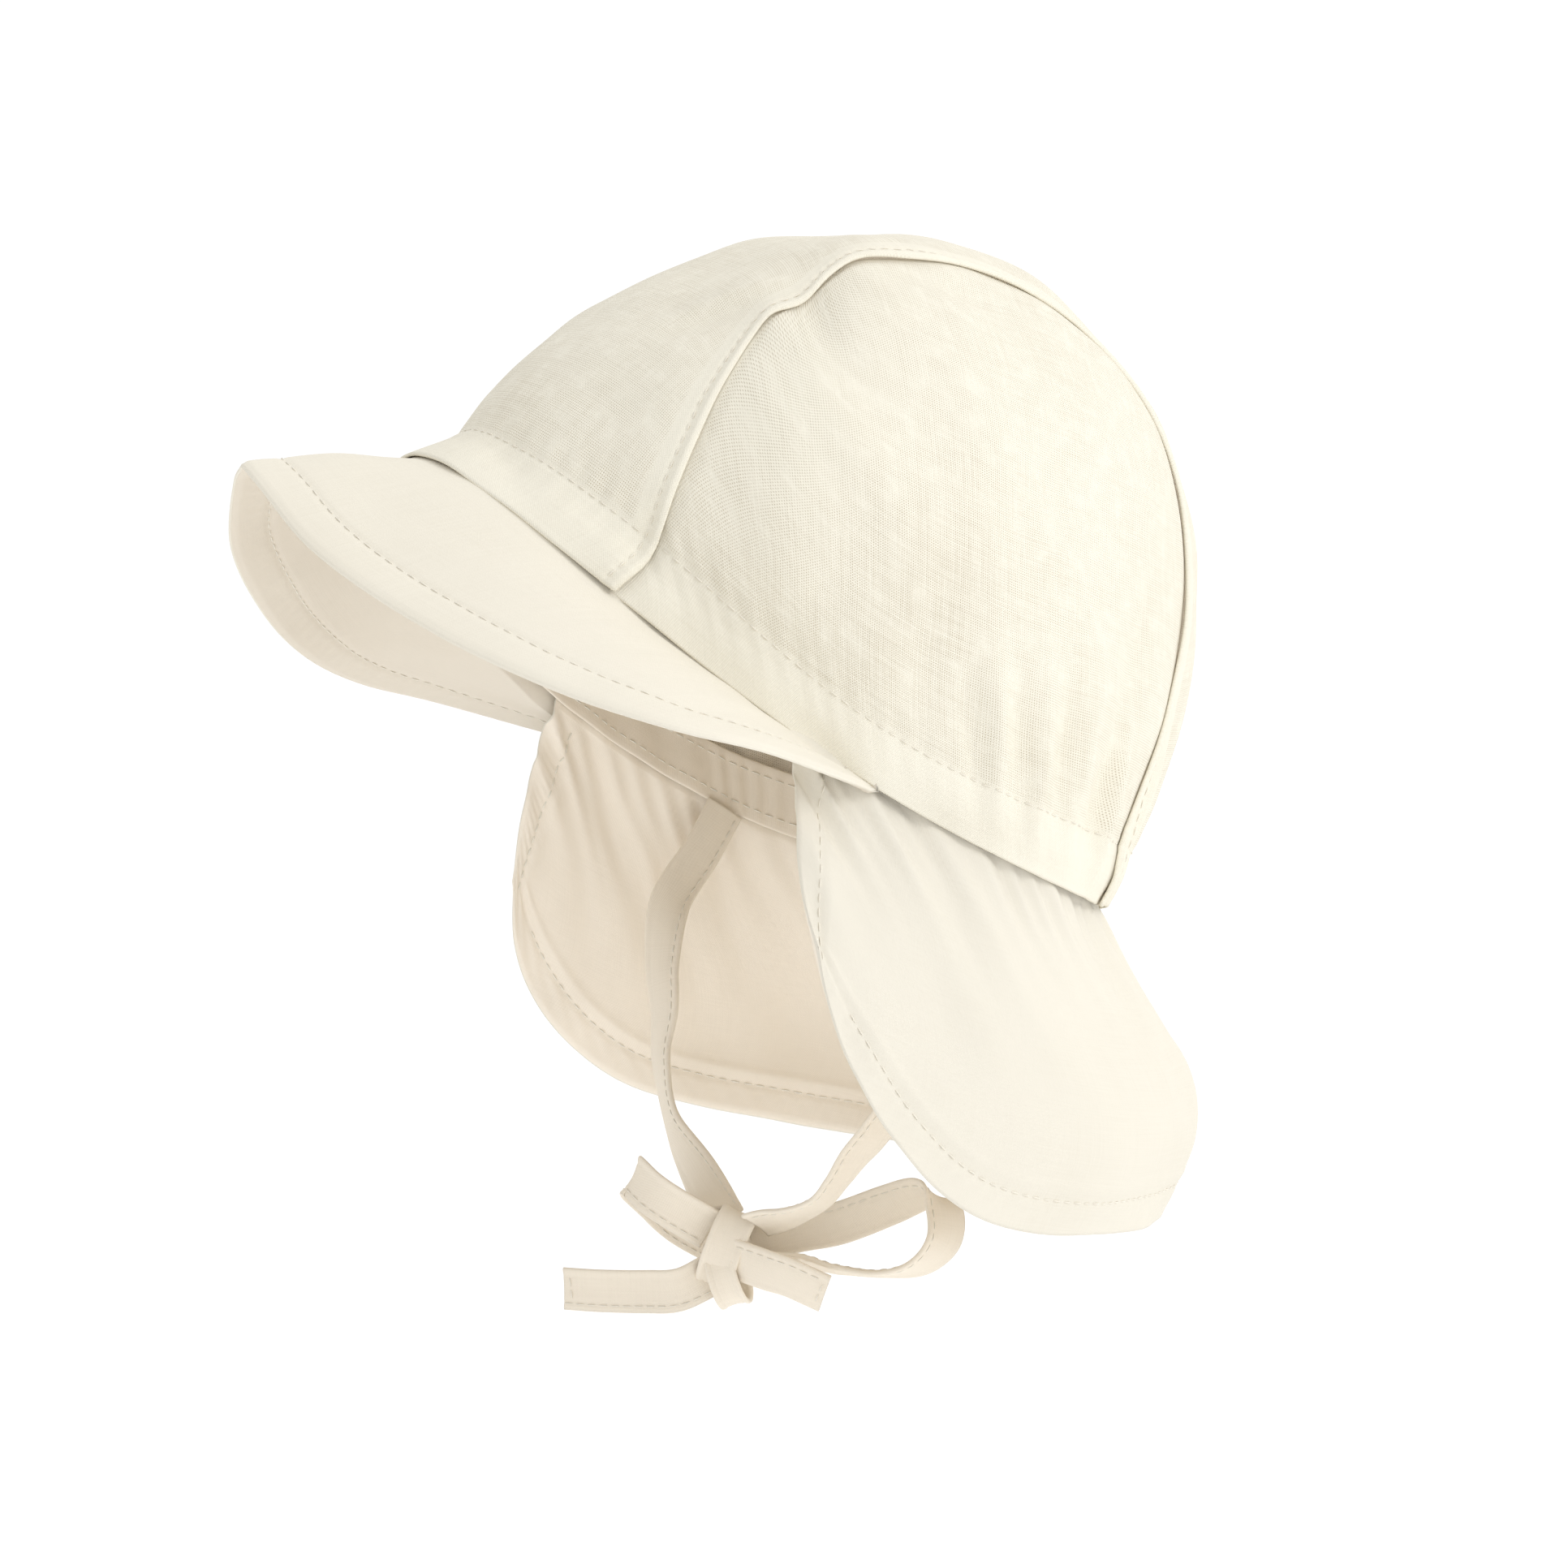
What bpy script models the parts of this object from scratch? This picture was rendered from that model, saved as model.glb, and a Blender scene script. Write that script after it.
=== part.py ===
# A baby's legionnaire cap in light cotton, in metres, +Z up, in the pose in which it is worn: it faces -Y,
# its front is tipped up, and its flap and ties hang down. The origin is the centre of the head opening.

import bpy
import numpy as np

# Head opening: an egg seen along the cap's own axis, widest towards the back, whose sides dip below its ends.
rim_length = 0.176
rim_width = 0.134
rim_widest_from_back = 0.054
rim_dip = 0.0155
worn_tilt_deg = 33.5

# Crown: a centre panel that runs from the forehead over the top to the nape, between two side panels.
crown_top = 0.0935
apex_behind_origin = 0.025
rim_flare = 0.010
panel_puff = 0.0022
seam_pinch = 0.0007
# The side panel's two upper corners, as shares of the way along its seam.
seam_front_corner = 0.34
seam_back_corner = 0.66
back_gathers = 6
back_gather_depth = 0.0018
back_gather_height = 0.034
crown_wall = 0.001

# Inner band, turned up inside the crown's edge.
band_height = 0.013
band_wall = 0.001
seam_tuck = 0.003

# Peak: two layers over a soft filling, sewn under the crown's edge from temple to temple.
peak_end_deg = 77.0
peak_reach = 0.037
peak_half_width = 0.0835
peak_wall = 0.0017
peak_crown = 0.0012
# Near its ends the peak comes down from behind the crown's edge, then out flush with it. Shares of the half length.
peak_drop_from = 0.75
peak_drop_span = 0.07
peak_flush_from = 0.82
peak_flush_span = 0.06

# Neck flap: two layers, from in front of one ear round to in front of the other.
flap_end_deg = 68.0
flap_half_width = 0.083
flap_back_reach = 0.088
flap_drop = 0.112
flap_belly = 0.0105
flap_wall = 0.0012
flap_near_side_sag = 0.006
flap_fold_depth = 0.0018
flap_front_bow = 0.0018
flap_fold_rate = 11.0
# The flap's sides are smooth from this share of its half width on, over this span.
flap_smooth_from = 0.35
flap_smooth_span = 0.55
# How far round the flap takes to come out from behind the peak's end, in degrees.
flap_past_peak_deg = 6.0

# Ties, with their knot and bow.
tie_seam_deg = 94.0
tie_width = 0.0092
tie_wall = 0.001
knot_drop = 0.119
knot_forward = 0.0042
knot_width = 0.0125
knot_height = 0.0175
knot_depth = 0.0100
bow_turn_deg = 50.0
bow_reach = 0.050

# Room that touching pieces keep, so that each stays a separate solid.
clearance = 0.0003

# How finely each surface is divided.
side_columns = 14
side_rows = 10
centre_columns = 24
peak_columns = 60
peak_rows = 6
flap_columns = 48
flap_rows = 11
band_columns = 64
tie_steps = 26

# Horizontal sections of the crown, from the rim to the apex. Rise is the share of the height from the rim to the
# top, and the others are shares of the rim's own distance from the apex line to the side, the front and the back.
crown_sections = (
    dict(rise=0.000, side=1.000, front=1.000, back=1.00),
    dict(rise=0.087, side=1.018, front=0.885, back=1.18),
    dict(rise=0.287, side=1.032, front=0.790, back=1.48),
    dict(rise=0.513, side=0.980, front=0.670, back=1.55),
    dict(rise=0.718, side=0.840, front=0.505, back=1.42),
    dict(rise=0.882, side=0.630, front=0.325, back=0.99),
    dict(rise=0.975, side=0.370, front=0.190, back=0.53),
    dict(rise=1.000, side=0.000, front=0.000, back=0.00),
)

# The seam between the centre panel and the left one, from the front of the rim over the crown to its back, on the
# crown laid flat as a disc whose middle is the top and whose edge is the rim. Way is the share of the way along
# the seam, and side and back are shares of the disc's radius.
crown_seam = (
    dict(way=0.000, side=0.682, back=-0.731),
    dict(way=0.077, side=0.575, back=-0.630),
    dict(way=0.170, side=0.455, back=-0.500),
    dict(way=0.262, side=0.340, back=-0.370),
    dict(way=0.318, side=0.276, back=-0.285),
    dict(way=0.355, side=0.262, back=-0.215),
    dict(way=0.402, side=0.222, back=-0.135),
    dict(way=0.445, side=0.190, back=-0.060),
    dict(way=0.487, side=0.185, back=0.020),
    dict(way=0.530, side=0.170, back=0.100),
    dict(way=0.583, side=0.160, back=0.200),
    dict(way=0.635, side=0.172, back=0.300),
    dict(way=0.681, side=0.215, back=0.375),
    dict(way=0.726, side=0.270, back=0.440),
    dict(way=0.767, side=0.330, back=0.490),
    dict(way=0.829, side=0.440, back=0.530),
    dict(way=0.896, side=0.560, back=0.575),
    dict(way=0.954, side=0.645, back=0.645),
    dict(way=1.000, side=0.700, back=0.714),
)

# The peak's outer edge, from its middle to its end. Along is the share of the way round to the peak's end, side a
# share of its half width, ahead the share of its reach in front of the rim, and drop a share of the fall from the
# rim's front to where the peak ends.
peak_edge = (
    dict(along=0.00, side=0.000, ahead=1.00, drop=0.022),
    dict(along=0.08, side=0.085, ahead=0.98, drop=0.078),
    dict(along=0.20, side=0.290, ahead=0.84, drop=0.275),
    dict(along=0.36, side=0.570, ahead=0.43, drop=0.505),
    dict(along=0.52, side=0.820, ahead=-0.04, drop=0.670),
    dict(along=0.68, side=0.985, ahead=-0.53, drop=0.775),
    dict(along=0.82, side=1.000, ahead=-1.02, drop=0.845),
    dict(along=0.93, side=0.895, ahead=-1.53, drop=0.935),
    dict(along=1.00, side=0.785, ahead=-1.90, drop=1.000),
)

# The flap's free edge, from the middle of the back to its front end. Around is the share of the way round to that
# end, side a share of its half width, back a share of its back reach and down a share of its drop.
flap_edge = (
    dict(around=0.00, side=0.000, back=1.000, down=1.000),
    dict(around=0.14, side=0.340, back=0.935, down=1.000),
    dict(around=0.28, side=0.655, back=0.755, down=0.990),
    dict(around=0.41, side=0.860, back=0.510, down=0.958),
    dict(around=0.53, side=0.955, back=0.270, down=0.915),
    dict(around=0.64, side=0.990, back=0.090, down=0.858),
    dict(around=0.74, side=1.000, back=-0.050, down=0.768),
    dict(around=0.83, side=0.995, back=-0.150, down=0.662),
    dict(around=0.92, side=0.960, back=-0.215, down=0.540),
    dict(around=1.00, side=0.905, back=-0.238, down=0.415),
)

# How far the flap stands out behind the straight line from rim to free edge, as shares of its belly.
flap_profile = (
    dict(down=0.00, out=0.00),
    dict(down=0.12, out=0.20),
    dict(down=0.25, out=0.50),
    dict(down=0.38, out=0.78),
    dict(down=0.50, out=0.98),
    dict(down=0.62, out=1.00),
    dict(down=0.75, out=0.82),
    dict(down=0.88, out=0.42),
    dict(down=1.00, out=0.00),
)

# The ties' routes from their seams to the knot. Side is a share of the seam's distance from the middle, back the
# share of the way from the knot to the seam, down the share of the fall from the seam to the knot, and turn how
# far the strip's width has turned from lying along the rim, in degrees.
tie_left_route = (
    dict(side=1.000, back=1.000, down=0.000, turn=0.0),
    dict(side=0.943, back=0.911, down=0.155, turn=4.0),
    dict(side=0.853, back=0.823, down=0.340, turn=8.0),
    dict(side=0.720, back=0.734, down=0.525, turn=12.0),
    dict(side=0.576, back=0.590, down=0.664, turn=16.0),
    dict(side=0.485, back=0.495, down=0.735, turn=22.0),
    dict(side=0.418, back=0.433, down=0.790, turn=30.0),
    dict(side=0.340, back=0.365, down=0.845, turn=32.0),
    dict(side=0.225, back=0.260, down=0.890, turn=28.0),
    dict(side=0.120, back=0.150, down=0.918, turn=22.0),
)
tie_right_route = (
    dict(side=1.000, back=1.000, down=0.000, turn=0.0),
    dict(side=0.965, back=0.760, down=0.110, turn=8.0),
    dict(side=0.925, back=0.450, down=0.225, turn=30.0),
    dict(side=0.870, back=0.330, down=0.360, turn=62.0),
    dict(side=0.800, back=0.260, down=0.480, turn=78.0),
    dict(side=0.750, back=0.190, down=0.600, turn=78.0),
    dict(side=0.550, back=0.150, down=0.760, turn=62.0),
    dict(side=0.270, back=0.070, down=0.850, turn=40.0),
    dict(side=0.040, back=0.000, down=0.888, turn=20.0),
)

# The strips of the bow, out from the knot. Along, up and toward are shares of the bow's reach, measured along the
# bow, upwards and towards the side that it shows; the last three say which way the strip's width points.
bow_loop_left_route = (
    dict(along=-0.110, up=0.120, toward=0.040, width_along=0.48, width_up=0.87, width_toward=0.00),
    dict(along=-0.205, up=0.192, toward=0.085, width_along=0.48, width_up=0.87, width_toward=0.00),
    dict(along=-0.310, up=0.258, toward=0.090, width_along=0.48, width_up=0.87, width_toward=0.00),
    dict(along=-0.400, up=0.312, toward=0.030, width_along=0.45, width_up=0.89, width_toward=0.00),
    dict(along=-0.400, up=0.265, toward=-0.050, width_along=0.42, width_up=0.90, width_toward=0.00),
    dict(along=-0.330, up=0.175, toward=-0.105, width_along=0.35, width_up=0.93, width_toward=0.00),
    dict(along=-0.250, up=0.095, toward=-0.115, width_along=0.25, width_up=0.96, width_toward=0.00),
    dict(along=-0.115, up=0.045, toward=-0.060, width_along=0.10, width_up=0.99, width_toward=0.00),
)
bow_loop_right_route = (
    dict(along=0.120, up=0.050, toward=-0.070, width_along=-0.25, width_up=0.97, width_toward=0.00),
    dict(along=0.270, up=0.085, toward=-0.110, width_along=-0.30, width_up=0.95, width_toward=0.00),
    dict(along=0.440, up=0.120, toward=-0.125, width_along=-0.32, width_up=0.94, width_toward=0.10),
    dict(along=0.660, up=0.205, toward=-0.115, width_along=-0.36, width_up=0.88, width_toward=0.25),
    dict(along=0.840, up=0.270, toward=-0.080, width_along=-0.50, width_up=0.60, width_toward=0.60),
    dict(along=0.920, up=0.215, toward=-0.020, width_along=-0.72, width_up=0.15, width_toward=0.68),
    dict(along=0.920, up=0.095, toward=0.030, width_along=-0.62, width_up=0.22, width_toward=0.75),
    dict(along=0.815, up=-0.008, toward=0.050, width_along=-0.35, width_up=0.30, width_toward=0.88),
    dict(along=0.650, up=-0.050, toward=0.045, width_along=-0.05, width_up=0.22, width_toward=0.97),
    dict(along=0.480, up=-0.040, toward=0.020, width_along=0.00, width_up=0.30, width_toward=0.95),
    dict(along=0.320, up=-0.015, toward=-0.010, width_along=0.00, width_up=0.45, width_toward=0.89),
    dict(along=0.135, up=-0.060, toward=-0.050, width_along=0.00, width_up=0.60, width_toward=0.80),
)
bow_end_left_route = (
    dict(along=-0.135, up=-0.130, toward=0.020, width_along=0.02, width_up=0.99, width_toward=0.00),
    dict(along=-0.200, up=-0.152, toward=0.060, width_along=0.15, width_up=0.99, width_toward=0.00),
    dict(along=-0.330, up=-0.166, toward=0.065, width_along=0.03, width_up=1.00, width_toward=0.00),
    dict(along=-0.500, up=-0.172, toward=0.060, width_along=-0.05, width_up=1.00, width_toward=0.05),
    dict(along=-0.700, up=-0.172, toward=0.040, width_along=-0.12, width_up=0.99, width_toward=0.05),
)
bow_end_right_route = (
    dict(along=0.085, up=-0.030, toward=0.105, width_along=0.15, width_up=0.95, width_toward=0.20),
    dict(along=0.190, up=-0.045, toward=0.135, width_along=0.30, width_up=0.90, width_toward=0.25),
    dict(along=0.310, up=-0.072, toward=0.150, width_along=0.37, width_up=0.88, width_toward=0.30),
    dict(along=0.450, up=-0.130, toward=0.150, width_along=0.40, width_up=0.86, width_toward=0.30),
)


def unit(vectors):
    return vectors / np.linalg.norm(vectors, axis=-1, keepdims=True)


def column(rows, name):
    return np.array([row[name] for row in rows])


def smooth(stations, values, at, flat_end=False):
    """A curve through values at the stations, each stretch a cubic whose slope at a station is the mean there.
    With flat_end the curve runs level into its last value."""
    steps = np.diff(values) / np.diff(stations)
    slopes = np.concatenate([steps[:1], (steps[:-1] + steps[1:]) / 2, steps[-1:]])
    if flat_end:
        slopes[-1] = 0.0
    at = np.clip(at, stations[0], stations[-1])
    cell = np.clip(np.searchsorted(stations, at, side="right") - 1, 0, len(steps) - 1)
    span = np.diff(stations)[cell]
    u = (at - stations[cell]) / span
    return (
        (2 * u**3 - 3 * u**2 + 1) * values[cell]
        + (u**3 - 2 * u**2 + u) * span * slopes[cell]
        + (3 * u**2 - 2 * u**3) * values[cell + 1]
        + (u**3 - u**2) * span * slopes[cell + 1]
    )


def ease(share):
    """0 below 0, 1 above 1, and a smooth step between."""
    share = np.clip(share, 0.0, 1.0)
    return share * share * (3 - 2 * share)


def stack(x, y, z):
    return np.stack(np.broadcast_arrays(x, y, z), axis=-1)


def rim(angle):
    """The crown's lower edge at an angle round from the front, positive towards the wearer's left."""
    half = rim_length / 2
    widest = half - rim_widest_from_back
    reach = np.where(np.cos(angle) > 0, widest + half, half - widest)
    along = widest - reach * np.cos(angle)
    above = -rim_dip * (1 - (along / half) ** 2)
    tilt = np.radians(worn_tilt_deg)
    return stack(
        rim_width / 2 * np.sin(angle),
        along * np.cos(tilt) + above * np.sin(tilt),
        above * np.cos(tilt) - along * np.sin(tilt),
    )


def seam_line(way):
    """Points of the left seam on the flat disc."""
    stations = column(crown_seam, "way")
    return np.stack([smooth(stations, column(crown_seam, name), way) for name in ("side", "back")], axis=-1)


def disc_turn(flat):
    """The angle round from the front of points on the flat disc."""
    return np.arctan2(flat[..., 0], -flat[..., 1])


def seam_angles():
    front, back = disc_turn(seam_line(np.array([0.0, 1.0])))
    full = 2 * np.pi
    return np.array([front, back, full - back, full - front])


def crown_at(angle, climb):
    """A point of the crown's outer face. Climb runs from 0 at the rim to 1 at the apex."""
    stations = np.linspace(0.0, 1.0, len(crown_sections))
    rise = smooth(stations, column(crown_sections, "rise"), climb, flat_end=True)
    side, front, back = (
        smooth(stations, column(crown_sections, name), climb) for name in ("side", "front", "back")
    )
    base = rim(angle)
    to_back = ease((1 - np.cos(angle)) / 2)
    reach = front * (1 - to_back) + back * to_back
    x = base[..., 0] * side
    y = apex_behind_origin + (base[..., 1] - apex_behind_origin) * reach
    z = base[..., 2] + (crown_top - base[..., 2]) * rise
    out = unit(stack(x, y - apex_behind_origin, 0.4 * (z - base[..., 2]) + rim_flare))
    return stack(x, y, z) + out * relief(angle, climb)[..., None]


def above_band(climb):
    """0 up to the inner band's top, 1 well above it, and 0 again at the very top."""
    height = climb * (crown_top + rim_length / 2)
    return ease((height - band_height) / band_height) * ease(6 * (1 - climb))


def relief(angle, climb):
    """How far the cloth stands off the plain crown: each side's puff and the gathers behind."""
    seams = seam_angles()
    turn = np.mod(angle, 2 * np.pi)
    edges = np.concatenate([[seams[-1] - 2 * np.pi], seams, [seams[0] + 2 * np.pi]])
    cell = np.clip(np.searchsorted(edges, turn, side="right") - 1, 0, len(edges) - 2)
    across = (turn - edges[cell]) / (edges[cell + 1] - edges[cell])
    puff = panel_puff * (ease(2 * np.minimum(across, 1 - across)) - 0.6) * np.sin(np.pi * climb)
    behind = (turn - seams[1]) / (seams[2] - seams[1])
    inside = ease(8 * behind) * ease(8 * (1 - behind))
    height = climb * (crown_top + rim_length / 2)
    fade = 1 - ease(height / back_gather_height)
    waves = 0.5 - 0.5 * np.cos(2 * np.pi * back_gathers * behind)
    return puff * above_band(climb) + back_gather_depth * waves * inside * fade


def crown_normal(angle, climb):
    """The crown's outward direction, from two short steps across its outer face."""
    step = 0.004
    low = np.clip(climb - step, 0.0, 1.0)
    up = crown_at(angle, climb + step) - crown_at(angle, low)
    around = crown_at(angle + step, climb) - crown_at(angle - step, climb)
    return unit(np.cross(around, up))


def height_grid(angles, heights):
    """Crown points at these distances up the cloth from the rim, and the outward directions there."""
    climb = np.linspace(0.0, 0.6, 61)[:, None]
    dense = crown_at(angles[None, :], climb)
    steps = np.linalg.norm(np.diff(dense, axis=0), axis=-1)
    lengths = np.concatenate([np.zeros((1, len(angles))), np.cumsum(steps, axis=0)])
    wanted = np.array([np.interp(heights, lengths[:, i], climb[:, 0]) for i in range(len(angles))]).T
    return crown_at(angles[None, :], wanted), crown_normal(angles[None, :], wanted)


def material(name, colour, roughness):
    made = bpy.data.materials.new(name)
    made.use_nodes = True
    shader = made.node_tree.nodes["Principled BSDF"]
    shader.inputs["Base Color"].default_value = (*colour, 1.0)
    shader.inputs["Roughness"].default_value = roughness
    shader.inputs["Metallic"].default_value = 0.0
    return made


def add_object(name, mesh, finish):
    mesh.polygons.foreach_set("use_smooth", [True] * len(mesh.polygons))
    mesh.materials.append(finish)
    made = bpy.data.objects.new(name, mesh)
    cap_parts.objects.link(made)
    return made


def cloth_sheet(name, points, wall, finish, closed=False):
    """A grid of points on the outer face, made a wall that lies inside it. A closed grid joins its two sides."""
    rows, columns = points.shape[:2]
    last = columns if closed else columns - 1
    faces = []
    for row in range(rows - 1):
        for place in range(last):
            beside = (place + 1) % columns
            low = row * columns
            high = low + columns
            faces.append((low + place, low + beside, high + beside, high + place))
    mesh = bpy.data.meshes.new(name)
    mesh.from_pydata(points.reshape(-1, 3).tolist(), [], faces)
    mesh.update()
    made = add_object(name, mesh, finish)
    layers = made.modifiers.new("Wall", "SOLIDIFY")
    layers.thickness = wall
    layers.offset = -1.0
    return made


def crown_panel(name, flat, has_top_seam, finish):
    """A panel over these points of the flat disc, drawn in along its seams and kept a little off them."""
    turn = disc_turn(flat)
    climb = np.clip(1 - np.linalg.norm(flat, axis=-1), 0.0, 1.0)
    points = crown_at(turn, climb)
    drawn_in = crown_normal(turn, climb) * (seam_pinch * above_band(climb))[..., None]
    seams = np.zeros(turn.shape, bool)
    seams[:, [0, -1]] = True
    seams[-1] |= has_top_seam
    points = points - drawn_in * seams[..., None]
    gap = 0.9 * clearance
    off_first = unit(points[:, 1] - points[:, 0]) * gap
    off_last = unit(points[:, -2] - points[:, -1]) * gap
    off_top = unit(points[-2] - points[-1]) * gap * has_top_seam
    points[:, 0] += off_first
    points[:, -1] += off_last
    points[-1] += off_top
    cloth_sheet(name, points, crown_wall, finish)


def side_panel(name, hand, finish):
    """The left panel, or its mirror image, from the rim up to the seam, worked out between its four edges."""
    front = seam_line(np.linspace(0.0, seam_front_corner, side_rows + 1))[:, None]
    top = seam_line(np.linspace(seam_front_corner, seam_back_corner, side_columns + 1))[None]
    back = seam_line(np.linspace(1.0, seam_back_corner, side_rows + 1))[:, None]
    turn = np.linspace(*seam_angles()[:2], side_columns + 1)
    edge = np.stack([np.sin(turn), -np.cos(turn)], axis=-1)[None]
    u = np.linspace(0.0, 1.0, side_columns + 1)[None, :, None]
    v = np.linspace(0.0, 1.0, side_rows + 1)[:, None, None]
    low = (1 - u) * front[0] + u * back[0]
    high = (1 - u) * front[-1] + u * back[-1]
    flat = (1 - v) * (edge - low) + v * (top - high) + (1 - u) * front + u * back
    if hand < 0:
        flat = flat[:, ::-1] * np.array([-1.0, 1.0])
    crown_panel(name, flat, True, finish)


def centre_panel(finish):
    """Rows across from seam to seam, which follow the rim's curve at both ends and run straight over the top."""
    front = np.linspace(0.0, seam_front_corner, side_rows + 1)
    top = np.linspace(seam_front_corner, seam_back_corner, side_columns + 1)
    back = np.linspace(seam_back_corner, 1.0, side_rows + 1)
    seam = seam_line(np.concatenate([front, top[1:], back[1:]]))[:, None]
    across = np.linspace(-1.0, 1.0, centre_columns + 1)[None, :]
    straight = np.stack(np.broadcast_arrays(seam[..., 0] * across, seam[..., 1]), axis=-1)
    radius = np.linalg.norm(seam, axis=-1)
    turn = disc_turn(seam)
    round_front = np.where(turn < np.pi / 2, across * turn, np.pi - across * (np.pi - turn))
    bent = radius[..., None] * np.stack([np.sin(round_front), -np.cos(round_front)], axis=-1)
    to_rim = ease((radius - 0.2) / 0.6)[..., None]
    crown_panel("centre_panel", straight * (1 - to_rim) + bent * to_rim, False, finish)


def band_inset():
    """How far the inner band lies inside the crown's outer face: the peak's edge is sewn in between."""
    return crown_wall + peak_wall + 4.5 * clearance


def edge_line(angles, inset, above):
    """Points this far inside the crown's outer face and this far above its lower edge, or below it if negative."""
    points, normals = height_grid(angles, np.array([0.0, 0.001]))
    up = unit(points[1] - points[0])
    return points[0] + up * np.reshape(above, (-1, 1)) - normals[0] * np.reshape(inset, (-1, 1))


def inner_band(finish):
    angles = np.linspace(0.0, 2 * np.pi, band_columns, endpoint=False)
    heights = np.linspace(0.0, band_height, 4)
    points, normals = height_grid(angles, heights)
    cloth_sheet("inner_band", points - normals * band_inset(), band_wall, finish, closed=True)


def peak(finish):
    """The peak's top face: tucked in behind the crown's edge, then ruled out to its own edge."""
    along = np.linspace(-1.0, 1.0, peak_columns + 1)
    share = np.abs(along)
    angles = along * np.radians(peak_end_deg)
    turn = np.mod(angles, 2 * np.pi)
    dropped = ease((share - peak_drop_from) / peak_drop_span)
    flush = ease((share - peak_flush_from) / peak_flush_span)
    inset = (crown_wall + 2 * clearance) * (1 - flush)
    below = -clearance
    tucked = edge_line(turn, inset, seam_tuck + (below - seam_tuck) * dropped)
    stations = column(peak_edge, "along")
    side, ahead, drop = (
        smooth(stations, column(peak_edge, name), share) for name in ("side", "ahead", "drop")
    )
    front = rim(np.array([0.0]))[0]
    end = rim(np.radians([peak_end_deg]))[0]
    outer = stack(
        np.sign(along) * side * peak_half_width,
        front[1] - ahead * peak_reach,
        front[2] + drop * (end[2] - front[2]),
    )
    inner = edge_line(turn, inset, below)
    inner = inner + unit(outer - inner) * clearance
    outward = np.linspace(1.0, 0.0, peak_rows + 1)[:, None, None]
    points = inner + (outer - inner) * outward
    width = np.linalg.norm(outer - inner, axis=-1) / peak_reach
    bow = peak_crown * np.minimum(width, 1.0)[None, :] * 4 * outward[..., 0] * (1 - outward[..., 0])
    points[..., 2] += bow
    points = np.concatenate([points, tucked[None]])
    cloth_sheet("peak", points, peak_wall, finish)


def neck_flap(finish):
    """Columns that run from behind the rim out to the flap's free edge, bellied and softly folded behind."""
    around = np.linspace(1.0, -1.0, flap_columns + 1)
    share = np.abs(around)
    half_turn = np.pi - np.radians(flap_end_deg)
    angles = np.pi - around * half_turn
    from_peak = half_turn * (1 - share) - np.radians(peak_end_deg - flap_end_deg)
    past_peak = ease(from_peak / np.radians(flap_past_peak_deg))
    behind_peak = peak_wall + 2.5 * clearance
    behind_crown = crown_wall + 3 * clearance
    inset = behind_peak + (behind_crown - behind_peak) * past_peak
    tucked = edge_line(angles, inset, seam_tuck)
    top = edge_line(angles, inset, -2 * clearance)
    stations = column(flap_edge, "around")
    side, back, down = (smooth(stations, column(flap_edge, name), share) for name in ("side", "back", "down"))
    near = ease(1.4 * around)
    edge = stack(
        np.sign(around) * side * flap_half_width,
        back * flap_back_reach,
        -down * flap_drop - flap_near_side_sag * (near - 0.5) * ease(2 * (1 - share)),
    )
    depth = np.linspace(1.0, 0.0, flap_rows + 1)[:, None]
    points = top + (edge - top) * depth[..., None]
    profile = smooth(column(flap_profile, "down"), column(flap_profile, "out"), depth)
    behind = 1 - ease((share - flap_smooth_from) / flap_smooth_span)
    out = unit(stack(edge[:, 0], edge[:, 1], 0.0))
    folds = flap_fold_depth * np.sin(flap_fold_rate * around) * np.sin(np.pi * np.minimum(depth * 0.75, 1.0)) ** 2
    points = points + out * (flap_belly * profile * behind + folds * behind)[..., None]
    points[..., 1] -= flap_front_bow * np.sin(np.pi * depth) * ease((share - 0.75) / 0.25)
    points = np.concatenate([points, tucked[None]])
    cloth_sheet("neck_flap", points, flap_wall, finish)


def strip(name, centres, widths, finish):
    """A flat tie along these centres, with its width this way at each."""
    half = tie_width / 2 * unit(widths)
    return cloth_sheet(name, np.array([centres - half, centres + half]), tie_wall, finish)


def knot_centre():
    return np.array([0.0, -knot_forward, -knot_drop])


def tie(name, hand, route, finish):
    """A tie from its seam inside the rim down to the knot. Hand is 1 on the wearer's left and -1 on the right."""
    angle = np.mod(hand * np.radians(tie_seam_deg), 2 * np.pi)
    inset = crown_wall + flap_wall + tie_wall + 8 * clearance
    near = np.array([angle - 0.05, angle, angle + 0.05])
    ahead, start, after = edge_line(near, inset, -2 * clearance)
    knot = knot_centre()
    steps = np.linspace(0.0, 1.0, tie_steps)
    stations = np.linspace(0.0, 1.0, len(route))
    side, back, down, turn = (
        smooth(stations, column(route, key), steps) for key in ("side", "back", "down", "turn")
    )
    centres = stack(
        hand * side * abs(start[0]),
        knot[1] + back * (start[1] - knot[1]),
        start[2] + down * (knot[2] - start[2]),
    )
    along = unit(np.gradient(centres, axis=0))
    out = stack(np.full(tie_steps, float(hand)), 0.0, 0.0)
    level = unit(np.cross(along, out))
    face = unit(np.cross(level, along))
    turned = np.radians(turn)[:, None]
    widths = level * np.cos(turned) + hand * face * np.sin(turned)
    sewn = 1 - ease(steps / 0.2)[:, None]
    widths = widths * (1 - sewn) + unit(ahead - after) * sewn
    strip(name, centres, widths, finish)


def bow_frame():
    turn = np.radians(bow_turn_deg)
    along = np.array([np.cos(turn), np.sin(turn), 0.0])
    toward = np.array([np.sin(turn), -np.cos(turn), 0.0])
    return along, np.array([0.0, 0.0, 1.0]), toward


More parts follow.
